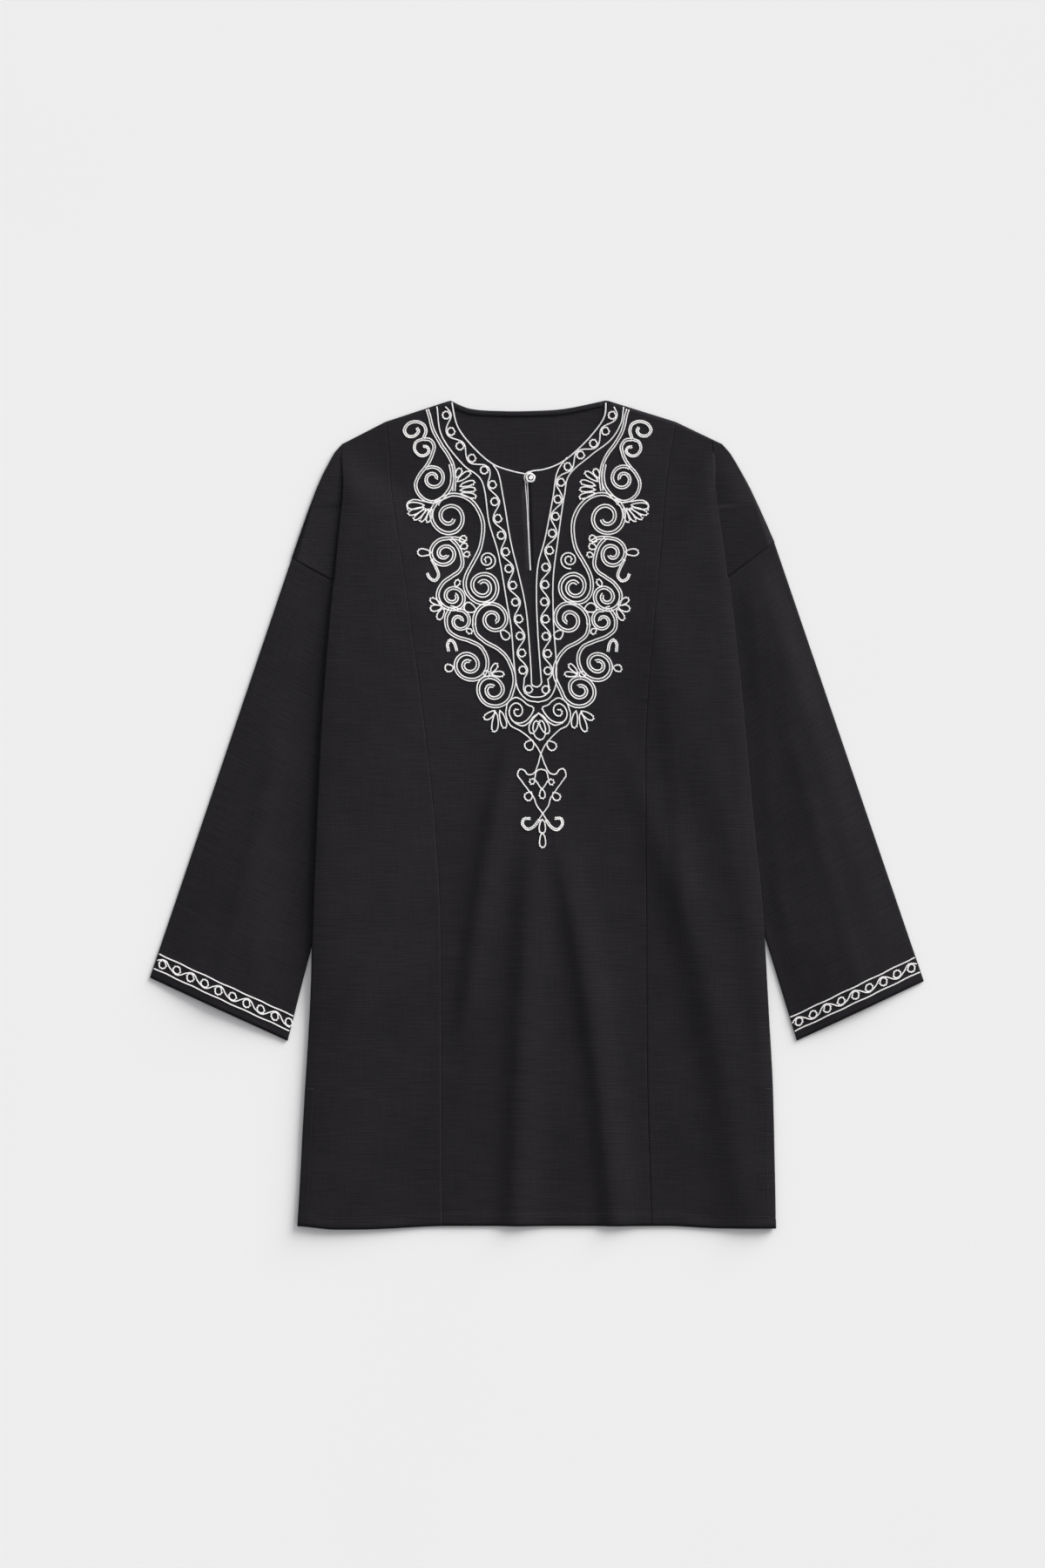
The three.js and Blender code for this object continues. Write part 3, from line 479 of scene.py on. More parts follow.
def curve_through(points, step=1.0):
    """A smooth line through a few points, sampled about every step millimetres."""
    p = np.array(points, float)
    if len(p) < 3:
        count = max(2, int(np.linalg.norm(p[-1] - p[0]) / step) + 1)
        return p[0] + (p[-1] - p[0]) * np.linspace(0, 1, count)[:, None]
    q = np.vstack([2 * p[0] - p[1], p, 2 * p[-1] - p[-2]])
    line = []
    for k in range(1, len(q) - 2):
        near = q[k - 1:k + 3]
        knots = np.cumsum([0] + [np.linalg.norm(near[j + 1] - near[j]) ** 0.5 for j in (0, 1, 2)])
        count = max(2, int(np.linalg.norm(q[k + 1] - q[k]) / step) + 1)
        t = np.linspace(knots[1], knots[2], count, endpoint=False)[:, None]

        def between(a, b, first, last):
            return mix(a, b, (t - knots[first]) / (knots[last] - knots[first]))

        a1, a2, a3 = (between(near[j], near[j + 1], j, j + 1) for j in (0, 1, 2))
        b1, b2 = between(a1, a2, 0, 2), between(a2, a3, 1, 3)
        line.append(between(b1, b2, 1, 2))
    line.append(p[-1:])
    return np.vstack(line)


def even(line, pitch):
    """Points a fixed pitch apart along a line, and the unit directions there."""
    steps = np.linalg.norm(np.diff(line, axis=0), axis=1)
    run = np.concatenate([[0], np.cumsum(steps)])
    count = max(2, int(round(run[-1] / pitch)) + 1)
    at = np.linspace(0, run[-1], count)
    points = np.stack([np.interp(at, run, line[:, k]) for k in range(line.shape[1])], -1)
    direction = np.gradient(points, axis=0)
    return points, direction / np.maximum(np.linalg.norm(direction, axis=1, keepdims=True), 1e-9)


def beside(line, distance):
    """The line moved sideways, to the left of its direction."""
    direction = np.gradient(line, axis=0)
    direction /= np.maximum(np.linalg.norm(direction, axis=1, keepdims=True), 1e-9)
    return line + np.stack([-direction[:, 1], direction[:, 0]], -1) * distance


# ------------------------------------------------------------------ cloth pieces


def side_front_grid(side, row_pitch):
    """Rows of the side front: main layer, folded edge, cloth under it and the upper arm layer.
    Returns the grid of points and which of its cells are cloth."""
    sign = -1 if side == RIGHT else 1
    table = SHOULDER_FOLD[side]
    main = np.concatenate([np.linspace(0, 0.06, 6)[:-1], np.linspace(0.06, 1, 30)])
    bends, flats, arms = 9, 7, 14      # points along each bend, the tucked cloth and the arm layer
    last_y = table["seam_y"][-1]
    upper = int((table["seam_y"][0] - last_y) / row_pitch)
    lower = int((last_y - HEM_Y) / row_pitch)
    rows, cloth_to = [], []
    order = np.arange(len(table["seam_y"]))

    def bend(run, radius, degrees, sense):
        turned = np.radians(degrees) * np.arange(1, bends + 1) / bends
        start = 0.0 if sense < 0 else -np.radians(degrees)
        to = start + sense * turned
        u = run[-1][0] + sense * radius * (np.sin(to) - np.sin(start))
        z = run[-1][1] - sense * radius * (np.cos(to) - np.cos(start))
        run.extend(zip(u, z))

    for k in range(upper + lower + 1):
        if k <= upper:
            s = np.interp(mix(table["seam_y"][0], last_y, k / upper), table["seam_y"][::-1], order[::-1])
            columns = ("seam_y", "rim_x", "rim_y", "turn", "tuck")
            seam_y, rim_x, rim_y, turn, tuck = (np.interp(s, order, table[c]) for c in columns)
            seam_x = read(BODY[side], seam_y, "seam")
            reach = abs(rim_x - seam_x)
            slope = (rim_y - seam_y) / reach
            fold_y = seam_y + slope * reach * 0.75
            edge_u = abs(read(BODY[side], fold_y, "edge") - seam_x) - 2
        else:
            seam_y = mix(last_y, HEM_Y, (k - upper) / lower)
            seam_x = read(BODY[side], seam_y, "seam")
            raise_edge = (table["rim_y"][-1] - last_y) * 0.64 * smooth(20, last_y, seam_y)
            edge_y = seam_y + raise_edge
            edge_u = abs(read(BODY[side], edge_y, "edge") - seam_x) - BEND_ROOM
            slope = raise_edge / edge_u
            turn = 180
        u = main * edge_u
        x, y = seam_x + sign * u, seam_y + slope * u
        height = front_surface(x, y)
        run = list(zip(u, height))
        if k <= upper:
            angle = np.radians(turn)
            drop = run[-1][1] - FRONT_MID
            room = drop - 1.1 * (1 - np.cos(angle))
            tuck = min(tuck, max(0.3, room / max(np.sin(angle), 1e-3)))
            radius = np.clip((drop - tuck * np.sin(angle)) / (2 * (1 - np.cos(angle))), 0.2, 24)
            bend(run, radius, turn, -1)
            start = run[-1]
            for f in np.linspace(0, 1, flats + 1)[1:]:
                run.append((start[0] + tuck * f * np.cos(angle), start[1] - tuck * f * np.sin(angle)))
            bend(run, radius, turn, 1)
            start = run[-1]
            for f in np.linspace(0, 1, arms + 1)[1:]:
                lift = ARM_LIFT[side] * np.sin(np.pi * f) * smooth(0, 0.4, k / upper)
                run.append((mix(start[0], reach, f), mix(start[1], FRONT_MID, smooth(0, 0.5, f)) + lift))
            cloth_to.append(len(run) - 1)
        else:
            half_rise = FRONT_MID + FOLD_RISE[side] / 2
            under = mix(half_rise, FRONT_MID, smooth(-160, -240, seam_y))
            under = mix(under, half_rise, smooth(150, last_y, seam_y))
            tuck = float(tuck_at(side, edge_y))
            bend(run, (run[-1][1] - under) / 2, 180, -1)
            start = run[-1]
            for f in np.linspace(0, 1, flats + 1)[1:]:
                sink = smooth(1 - SEAM_ALLOWANCE / tuck, 1, f) * (start[1] - FRONT_MID) * 0.9
                run.append((start[0] - tuck * f, start[1] - sink))
            cloth_to.append(len(run) - 1)
            while len(run) < len(main) + 2 * bends + flats + arms:
                run.append(run[-1])
        run = np.array(run)
        row = np.stack([seam_x + sign * run[:, 0], seam_y + slope * run[:, 0], run[:, 1]], -1)
        if k > upper:
            row[:, 1] += (hem_at(row[:, 0]) - HEM_Y) * smooth(-380, HEM_Y, seam_y)
        rows.append(row)
    points = np.stack(rows)
    cloth = np.zeros((points.shape[0] - 1, points.shape[1] - 1), bool)
    for k in range(len(rows) - 1):
        cloth[k, :min(cloth_to[k], cloth_to[k + 1])] = True
    return points, cloth


def run_along(points):
    """Length along each row of a grid, from its first point."""
    return np.cumsum(np.pad(np.linalg.norm(np.diff(points, axis=1), axis=-1), ((0, 0), (1, 0))), axis=1)


def side_front(side, sizes, material):
    """One side panel of the front, with its folded side."""
    points, cloth = side_front_grid(side, sizes.mesh_pitch)
    uv = np.stack([run_along(points[:, :, [0, 2]]), points[:, :, 1]], -1)
    piece = shell("side_front_" + side, points, cloth, sizes.cloth, side == RIGHT, uv, material)
    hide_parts("front_side_" + side)


def neck_boundary(side):
    """The top edge of one half of the centre front: shoulder seam, then neckline down to the slit."""
    seam_x = float(read(BODY[side], SHOULDER_OUT, "seam"))
    neck = NECK_RIGHT if side == RIGHT else NECK_LEFT
    shoulder = np.linspace((seam_x, SHOULDER_OUT), neck[0], 16)[:-1]
    return np.vstack([shoulder, curve_through(neck)])


def slit_edge(y, sign, width):
    """One edge of the slit at heights y; sign 0 gives its middle line, which runs on to the hem."""
    along = (SLIT_TOP[1] - y) / (SLIT_TOP[1] - SLIT_END[1])
    half = 0.5 * width * np.where(y > SLIT_END[1], 1 - 0.55 * np.clip(along, 0, 1), 0.0)
    return mix(SLIT_TOP[0], SLIT_END[0], along) * np.ones_like(y) + sign * half


def centre_front(sizes, material):
    """Two halves of one grid, apart along the slit and joined below it."""
    rows = int((SHOULDER_TOP - HEM_Y) / sizes.mesh_pitch)
    t = np.linspace(0, 1, rows)[:, None]
    halves = []
    for side, count in ((RIGHT, 38), (LEFT, 40)):
        sign = -1 if side == RIGHT else 1
        top = neck_boundary(side)
        steps = np.concatenate([[0], np.cumsum(np.linalg.norm(np.diff(top, axis=0), axis=1))])
        at = np.concatenate([[0, 0.004, 0.009, 0.015, 0.024, 0.038], np.linspace(0.06, 1, count - 6)])
        edge = np.stack([np.interp(at * steps[-1], steps, top[:, k]) for k in (0, 1)], -1)
        hem_x = mix(read(BODY[side], HEM_Y, "seam"), slit_edge(HEM_Y, 0, 0), at)
        y = mix(edge[:, 1], hem_at(hem_x), t)

        def level(yy):
            return mix(read(BODY[side], yy, "seam"), slit_edge(yy, sign, sizes.slit), at)

        hold = edge[:, 0] - level(edge[:, 1])
        hold = hold - hold[-1] * at ** 6
        x = level(y) + hold * (1 - smooth(0, 0.3, t))
        halves.append(np.stack([x, y], -1))
    plan = np.concatenate([halves[0], halves[1][:, ::-1]], axis=1)
    x, y = plan[..., 0], plan[..., 1]
    z = front_surface(x, y)
    away = np.abs(x - slit_edge(y, 0, 0))
    above_foot = smooth(130, 175, y)
    groove = 0.75 * np.exp(-((away / 1.6) ** 2)) * smooth(SLIT_END[1] + 8, SLIT_END[1] - 4, y)
    z = z + (0.25 * np.exp(-((away / 4.5) ** 2)) - groove) * above_foot
    points = np.stack([x, y, z], -1)
    cloth = np.ones((points.shape[0] - 1, points.shape[1] - 1), bool)
    joint = halves[0].shape[1] - 1
    cloth[:, joint] = False
    joined = np.zeros_like(cloth)
    joined[:, joint] = (x[1:, joint + 1] - x[1:, joint] < 0.01) & (x[:-1, joint + 1] - x[:-1, joint] < 0.01)
    piece = shell("centre_front", points, cloth, sizes.cloth, False, plan, material, joined=joined)
    weld(piece)
    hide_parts("front_center")


def back_panel(sizes, material):
    """The plain back, shaped to lie inside the front's and the sleeves' outlines."""
    neck = curve_through(BACK_NECK)
    yoke_y = 380
    rows_y = np.concatenate([np.linspace(SHOULDER_TOP, yoke_y, 34),
                             np.linspace(yoke_y, HEM_Y + BACK_SHORT, 110)[1:]])
    spans = {}
    for side in (RIGHT, LEFT):
        table = SHOULDER_FOLD[side]
        start = NECK_RIGHT[0] if side == RIGHT else NECK_LEFT[0]
        xs = [start[0]] + table["rim_x"][:-1] + [SLEEVE[side]["top"][0], SLEEVE[side]["underarm"][0]]
        ys = [SHOULDER_TOP] + table["rim_y"][:-1] + [SLEEVE[side]["top"][1], SLEEVE[side]["underarm"][1]]
        upper = np.interp(-rows_y, -np.array(ys, float), xs)
        sign = -1 if side == RIGHT else 1
        lower = np.minimum(np.abs(read(BODY[side], rows_y, "edge")) - 1,
                           np.abs(side_seam(side, rows_y)) - SEAM_GAP)
        spans[side] = np.where(rows_y > ys[-1], upper, sign * lower)
    f = np.linspace(0, 1, 96)
    x = mix(spans[RIGHT][:, None], spans[LEFT][:, None], f)
    dip = SHOULDER_TOP - np.interp(x, neck[:, 0], neck[:, 1])
    inside = (x > NECK_RIGHT[0][0]) & (x < NECK_LEFT[0][0])
    y = rows_y[:, None] - np.where(inside, dip, 0) * (1 - smooth(446, 395, rows_y)[:, None])
    y[-1] = hem_at(x[-1]) + BACK_SHORT
    z = BACK_MID + 0.35 * (ripple(x, y) + 0.35)
    points = np.stack([x, y, z], -1)
    cloth = np.ones((points.shape[0] - 1, points.shape[1] - 1), bool)
    piece = shell("back_panel", points, cloth, sizes.cloth, False, points[..., :2], material)
    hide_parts("back")
    binding = neck_binding(material)


def neck_binding(material):
    """The narrow self-fabric binding on the back neck edge."""
    line = curve_through(BACK_NECK, 2.0)
    inner, outer = beside(line, BINDING["inner"]), beside(line, BINDING["outer"])
    f = np.linspace(0, 1, 7)[None, :, None]
    plan = mix(inner[3:-3, None, :], outer[3:-3, None, :], f)
    crown = BINDING["crown"] * np.sin(np.pi * f[..., 0]) + 0.05 * np.sin(plan[..., 0] / 2.6)
    points = np.concatenate([plan, (BINDING["height"] + crown)[..., None]], -1)
    cloth = np.ones((points.shape[0] - 1, points.shape[1] - 1), bool)
    piece = shell("neck_binding", points, cloth, BINDING["wall"], False, plan, material)
    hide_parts("back_neck_binding")
    return piece


def sleeve(side, sizes, material):
    """One laid tube, its rows running round it; the first rows lie under the side front's edge."""
    stations = int(SLEEVE_LENGTH / sizes.mesh_pitch)
    t = np.concatenate([[-0.008, -0.002], np.linspace(0.0004, 1, stations)])[:, None]
    outer, inner = sleeve_line(side, t[:, 0])
    width = np.linalg.norm(inner - outer, axis=-1)[:, None]
    along = (inner - outer)[:, None, :] / width[..., None]
    radius = (FRONT_MID - BACK_MID) / 2
    first, last = radius + 0.6, width - radius - 0.9
    across = np.linspace(0.02, 0.98, 42)
    beneath = np.linspace(0.95, 0.05, 12)
    angles = np.radians(np.linspace(0, 180, 7))
    centre_z = (FRONT_MID + BACK_MID) / 2
    ones = np.ones_like(t)
    upper_u = mix(first, last, across)
    upper_xy = outer[:, None, :] + along * upper_u[..., None]
    upper_z = sleeve_height(side, upper_xy[..., 0], upper_xy[..., 1], across * ones,
                            t * np.ones_like(across))
    cuff_up = (1 - t) * SLEEVE_LENGTH
    cuff_turn = 0.3 * smooth(HEM_TURN + 1, HEM_TURN - 1, cuff_up)
    cuff_groove = 0.4 * np.exp(-(((cuff_up - HEM_TURN) / 1.4) ** 2))
    seam_ridge = 0.25 * np.exp(-(((t - 0.006) / 0.005) ** 2))
    seam_dip = 0.75 * smooth(0.0, -0.006, t)
    upper_z = upper_z + cuff_turn - cuff_groove + seam_ridge - seam_dip
    outer_u = first - radius * np.sin(angles) * ones
    inner_u = last + radius * np.sin(angles) * ones
    outer_z = centre_z - radius * np.cos(angles) * ones
    inner_z = centre_z + radius * np.cos(angles) * ones
    lower_u = mix(first, last, beneath)
    u = np.concatenate([outer_u, upper_u, inner_u, lower_u], axis=1)
    z = np.concatenate([outer_z, upper_z, inner_z, BACK_MID * np.ones_like(lower_u)], axis=1)
    xy = outer[:, None, :] + along * u[..., None]
    points = np.concatenate([xy, z[..., None]], -1)
    ring = np.concatenate([points, points[:, :1]], axis=1)
    run = run_along(ring)
    uv = np.stack([run, -SLEEVE_LENGTH * t * np.ones_like(run)], -1)
    cloth = np.ones((ring.shape[0] - 1, ring.shape[1] - 1), bool)
    piece = shell("laid_sleeve_" + side, ring, cloth, sizes.cloth, side == RIGHT, uv, material)
    weld(piece)
    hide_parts("sleeve_" + side)


# ------------------------------------------------------------------ threads and cords


def tubes(name, lines, radius, sides, material):
    """Solid strands along lines of points in space."""
    points, faces, base = [], [], 0
    turn = 2 * np.pi * np.arange(sides) / sides
    for line in lines:
        line = np.asarray(line, float)
        direction = np.gradient(line, axis=0)
        direction /= np.linalg.norm(direction, axis=1, keepdims=True)
        level = np.cross(direction, (0.0, 0.0, 1.0))
        level /= np.maximum(np.linalg.norm(level, axis=1, keepdims=True), 1e-6)
        rise = np.cross(level, direction)
        ring = (line[:, None, :] + radius * (np.cos(turn)[None, :, None] * level[:, None, :]
                                             + np.sin(turn)[None, :, None] * rise[:, None, :]))
        count = len(line)
        points.append(ring.reshape(-1, 3))
        k = np.arange(count - 1)[:, None] * sides + np.arange(sides)[None, :]
        nxt = np.arange(count - 1)[:, None] * sides + (np.arange(sides)[None, :] + 1) % sides
        quads = np.stack([k, nxt, nxt + sides, k + sides], -1).reshape(-1, 4) + base
        faces.extend(quads.tolist())
        faces.append([base + j for j in range(sides)][::-1])
        faces.append([base + (count - 1) * sides + j for j in range(sides)])
        base += count * sides
    return new_object(name, np.vstack(points), faces, material)


def plied(line, radius, lay):
    """Two plies twisted round a line; radius is the whole cord's."""
    line, direction = even(line, lay / 7)
    level = np.cross(direction, (0.0, 0.0, 1.0))
    level /= np.linalg.norm(level, axis=1, keepdims=True)
    rise = np.cross(level, direction)
    run = np.arange(len(line)) * (lay / 7)
    strands = []
    for start in (0, np.pi):
        angle = (2 * np.pi * run / lay + start)[:, None]
        strands.append(line + 0.48 * radius * (np.cos(angle) * level + np.sin(angle) * rise))
    return strands


def chain(lines, surface, pitch, width, thread):
    """Chain stitch along plan lines: each stitch is a drop-shaped loop lying on the surface."""
    bends, corners = 8, 4      # points round the loop, and round its thread
    around = 2 * np.pi * np.arange(bends) / bends
    long = 1.32 * pitch        # each stitch starts inside the one before it
    u = long * (0.5 - 0.5 * np.cos(around))
    v = 0.5 * (width - thread) * np.sin(around) * (0.75 + 0.35 * u / long)
    du, dv = (np.gradient(np.tile(line, 3))[bends:2 * bends] for line in (u, v))
    length = np.hypot(du, dv)
    out_u, out_v = dv / length, -du / length
    section = np.radians([45, 135, 225, 315])
    r = thread / 2
    tu = (u[:, None] + r * np.cos(section) * out_u[:, None]).ravel()
    tv = (v[:, None] + r * np.cos(section) * out_v[:, None]).ravel()
    tz = (r + r * np.sin(section)[None, :] + 0.28 * (u / long)[:, None]).ravel()
    starts, directions = [], []
    for line in lines:
        p, d = even(line, pitch)
        starts.append(p[:-1])
        directions.append(d[:-1])
    p, d = np.vstack(starts), np.vstack(directions)
    wander = 0.06 * np.stack([np.sin(12.9 * p[:, 0] + 3.1 * p[:, 1]),
                              np.sin(7.7 * p[:, 1] - 5.3 * p[:, 0])], -1)
    across = np.stack([-d[:, 1], d[:, 0]], -1)
    plan = ((p + wander)[:, None, :] + d[:, None, :] * tu[None, :, None]
            + across[:, None, :] * tv[None, :, None])
    z = surface(plan[..., 0], plan[..., 1]) + tz[None, :]
    points = np.concatenate([plan, z[..., None]], -1).reshape(-1, 3)
    bend, corner = np.arange(bends)[:, None], np.arange(corners)[None, :]
    m, m2 = bend * corners, (bend + 1) % bends * corners
    s, s2 = corner, (corner + 1) % corners
    quad = np.stack([m + s, m + s2, m2 + s2, m2 + s], -1).reshape(-1, 4)
    faces = (np.arange(len(p))[:, None, None] * bends * corners + quad[None]).reshape(-1, 4)
    return points, faces


def polar(at, radius, angle):
    """Plan points at a radius and angle from a point."""
    return np.stack([at[0] + radius * np.cos(angle), at[1] + radius * np.sin(angle)], -1)


def spiral_line(at, outer, inner, entry, sweep, ease):
    """A curl that winds in from its outer radius; entry and sweep are in degrees."""
    count = max(24, int(abs(sweep) / 9))
    t = np.linspace(0, 1, count)
    return polar(at, mix(outer, inner, t ** ease), np.radians(entry + sweep * t))


def loop_line(at, point, long, wide):
    """A petal: a closed drop-shaped line from a point, in a direction given in degrees."""
    angle = np.linspace(0, 2 * np.pi, 26)
    u = long * (0.5 - 0.5 * np.cos(angle))
    v = 0.5 * wide * np.sin(angle) * (0.62 + 0.55 * u / long)
    turn = np.radians(point)
    return np.stack([at[0] + u * np.cos(turn) - v * np.sin(turn),
                     at[1] + u * np.sin(turn) + v * np.cos(turn)], -1)


def laid_out(line, side):
    """From the chart to the garment: the wearer's left half is the mirrored one."""
    y = line[:, 1]
    centre = read(CENTRE_LINE, y, "x")
    sign, shift = (1, 0) if side == RIGHT else (-1, 2)
    hand = 0.35 * np.stack([np.sin(0.11 * y + 0.07 * line[:, 0] + shift),
                            np.sin(0.09 * line[:, 0] - 0.13 * y + 1 + shift)], -1)
    return np.stack([centre + sign * line[:, 0], y], -1) + hand


def scroll_lines(side):
    """Every stitched line of one half's scrollwork: stems, curls and petals."""
    lines = []
    for stroke in STROKES:
        if "spiral" not in stroke:
            line = curve_through(stroke["stem"])
        elif stroke["stem"]:
            curl = spiral_line(**SPIRALS[stroke["spiral"]])
            stem = curve_through(list(stroke["stem"]) + [curl[0], curl[3], curl[6]])
            near = np.argmin(np.linalg.norm(stem - curl[3], axis=1))
            line = np.vstack([stem[:near], curl[3:]])
        else:
            line = spiral_line(**SPIRALS[stroke["spiral"]])
        rows = [line]
        if stroke["rows"] == 2:
            rows = [beside(line, way * stroke["spread"]) for way in (-0.5, 0.5)]
        lines += [laid_out(row, side) for row in rows]
    lines += [laid_out(loop_line(**loop), side) for loop in LOOPS]
    return lines


def ring_line(at, radius):
    return polar(at, radius, np.linspace(0, 2 * np.pi, 18))


def line_length(line):
    return np.linalg.norm(np.diff(line, axis=0), axis=1).sum()


def wave_and_rings(middle, pitch, swing, ring, first):
    """A running wave that passes on alternate sides of a row of rings; first places the first ring."""
    line, direction = even(middle, 0.8)
    run = np.linspace(0, line_length(middle), len(line))
    across = np.stack([-direction[:, 1], direction[:, 0]], -1)
    wave = line + across * (swing * np.cos(np.pi * (run / pitch - first)))[:, None]
    rings = []
    for k, at in enumerate(np.arange(first * pitch, run[-1] - 2, pitch)):
        way = 1 if k % 2 == 0 else -1
        centre = [np.interp(at, run, (line - 0.36 * way * across)[:, j]) for j in (0, 1)]
        rings.append(ring_line(centre, ring))
    return [wave] + rings


def band_lines(side):
    """One neck band: its two rails, the wave between them and the rings."""
    rails = {key: curve_through(value) for key, value in BAND_RAILS[side].items()}
    inner, _ = even(rails["inner"], 1.5)
    outer, _ = even(rails["outer"][:-18], 1.5)
    f = np.linspace(0, 1, 260)

    def along(line):
        return np.stack([np.interp(f, np.linspace(0, 1, len(line)), line[:, k]) for k in (0, 1)], -1)

    middle = 0.5 * (along(inner) + along(outer))
    middle = middle[middle[:, 1] > BAND_FOOT]
    free = rails["inner"][:, 1] < RAIL_START[side]
    pitch = line_length(middle) / BAND_RINGS
    return [rails["inner"][free], rails["outer"]] + wave_and_rings(middle, pitch, **BAND_WAVE)


def above_front(gap):
    """The surface a gap above the middle of the front's cloth."""
    return lambda x, y: front_surface(x, y) + gap


# ------------------------------------------------------------------ materials


def linear(code):
    """An sRGB hex colour as linear values with alpha."""
    parts = [int(code[k:k + 2], 16) / 255 for k in (1, 3, 5)]
    return tuple(c / 12.92 if c <= 0.04045 else ((c + 0.055) / 1.055) ** 2.4 for c in parts) + (1.0,)


def add(tree, kind, inputs=None, **settings):
    """Adds one node with its settings; an input is a value or a socket to link from."""
    node = tree.nodes.new(kind)
    for key, value in settings.items():
        setattr(node, key, value)
    for key, value in (inputs or {}).items():
        if isinstance(value, bpy.types.NodeSocket):
            tree.links.new(value, node.inputs[key])
        else:
            node.inputs[key].default_value = value
    return node


def blank_material(name):
    material = bpy.data.materials.new(name)
    material.use_nodes = True
    material.node_tree.nodes.clear()
    return material, material.node_tree


def woven_cotton_linen(name, colour, streak):
    """Plain-woven cotton and linen, piece-dyed near black: matt, with slubs that catch the light."""
    material, tree = blank_material(name)
    grain = add(tree, "ShaderNodeUVMap", uv_map="grain").outputs["UV"]
    axes = add(tree, "ShaderNodeSeparateXYZ", {"Vector": grain})
    # Threads 0.5 mm apart are drawn 1.1 mm apart, so that the weave shows.
    turns = 2 * np.pi / (1.1 * MM)
    weft = add(tree, "ShaderNodeMath", {0: axes.outputs["X"], 1: turns}, operation="MULTIPLY")
    warp = add(tree, "ShaderNodeMath", {0: axes.outputs["Y"], 1: turns}, operation="MULTIPLY")
    weft_wave = add(tree, "ShaderNodeMath", {0: weft.outputs[0]}, operation="SINE")
    warp_wave = add(tree, "ShaderNodeMath", {0: warp.outputs[0]}, operation="SINE")
    weave = add(tree, "ShaderNodeMath", {0: weft_wave.outputs[0], 1: warp_wave.outputs[0]},
                operation="MULTIPLY")
    # Slubs: thicker stretches of weft some 35 mm long and 1.4 mm high, and fewer along the warp.
    across = add(tree, "ShaderNodeMapping", {"Vector": grain, "Scale": (28, 700, 1)})
    down = add(tree, "ShaderNodeMapping", {"Vector": grain, "Scale": (620, 24, 1), "Location": (3, 7, 0)})
    slub = add(tree, "ShaderNodeTexNoise", {
        "Vector": across.outputs[0], "Scale": 1.0, "Detail": 3.0, "Roughness": 0.6})
    warp_slub = add(tree, "ShaderNodeTexNoise", {"Vector": down.outputs[0], "Scale": 1.0, "Detail": 2.0})
    patch = add(tree, "ShaderNodeTexNoise", {"Vector": grain, "Scale": 14.0, "Detail": 2.0})
    both = add(tree, "ShaderNodeMath", {0: slub.outputs["Fac"], 1: 0.72}, operation="MULTIPLY")
    mixed = add(tree, "ShaderNodeMath", {0: warp_slub.outputs["Fac"], 1: 0.28, 2: both.outputs[0]},
                operation="MULTIPLY_ADD")
    tone = add(tree, "ShaderNodeMath", {0: patch.outputs["Fac"], 1: 0.25, 2: mixed.outputs[0]},
               operation="MULTIPLY_ADD")
    ramp = add(tree, "ShaderNodeValToRGB", {"Fac": tone.outputs[0]})
    ramp.color_ramp.elements[0].position = 0.50
    ramp.color_ramp.elements[0].color = colour
    ramp.color_ramp.elements[1].position = 0.84
    ramp.color_ramp.elements[1].color = streak
    relief = add(tree, "ShaderNodeMath", {0: weave.outputs[0], 1: 0.16, 2: mixed.outputs[0]},
                 operation="MULTIPLY_ADD")
    bump = add(tree, "ShaderNodeBump", {"Height": relief.outputs[0], "Strength": 0.8, "Distance": 0.6 * MM})
    shader = add(tree, "ShaderNodeBsdfPrincipled", {
        "Base Color": ramp.outputs["Color"], "Normal": bump.outputs["Normal"], "Roughness": 0.62,
        "Specular IOR Level": 0.24, "Specular Tint": linear("#f0ecf6"), "Sheen Weight": 0.01,
        "Sheen Roughness": 0.45, "Sheen Tint": linear("#cfc8dc")})
    add(tree, "ShaderNodeOutputMaterial", {"Surface": shader.outputs[0]})
    return material


def cotton_thread(name, colour, shade, gloss, sheen):
    """Twisted cotton thread, slightly lustrous. It has painted shade: a darker colour, mottled over it at
    random by noise, stands in for the shade where the plies turn under.
    Bleached it is bright white, and dyed for sewing it is black like the cloth."""
    material, tree = blank_material(name)
    place = add(tree, "ShaderNodeTexCoord").outputs["Object"]
    fleck = add(tree, "ShaderNodeTexNoise", {"Vector": place, "Scale": 420.0, "Detail": 3.0})
    drift = add(tree, "ShaderNodeTexNoise", {"Vector": place, "Scale": 60.0, "Detail": 1.0})
    flecked = add(tree, "ShaderNodeMath", {0: fleck.outputs["Fac"], 1: 0.6}, operation="MULTIPLY")
    tone = add(tree, "ShaderNodeMath", {0: drift.outputs["Fac"], 1: 0.4, 2: flecked.outputs[0]},
               operation="MULTIPLY_ADD")
    # Painted shade: the ramp's first colour is the darker shade of the plies, spread at random by the noise.
    ramp = add(tree, "ShaderNodeValToRGB", {"Fac": tone.outputs[0]})
    ramp.color_ramp.elements[0].position = 0.3
    ramp.color_ramp.elements[0].color = shade
    ramp.color_ramp.elements[1].position = 0.65
    ramp.color_ramp.elements[1].color = colour
    bump = add(tree, "ShaderNodeBump", {
        "Height": fleck.outputs["Fac"], "Strength": 0.35, "Distance": 0.15 * MM})
    shader = add(tree, "ShaderNodeBsdfPrincipled", {
        "Base Color": ramp.outputs["Color"], "Normal": bump.outputs["Normal"], "Roughness": gloss,
        "Specular IOR Level": 0.5, "Sheen Weight": sheen, "Sheen Roughness": 0.5})
    add(tree, "ShaderNodeOutputMaterial", {"Surface": shader.outputs[0]})
    return material


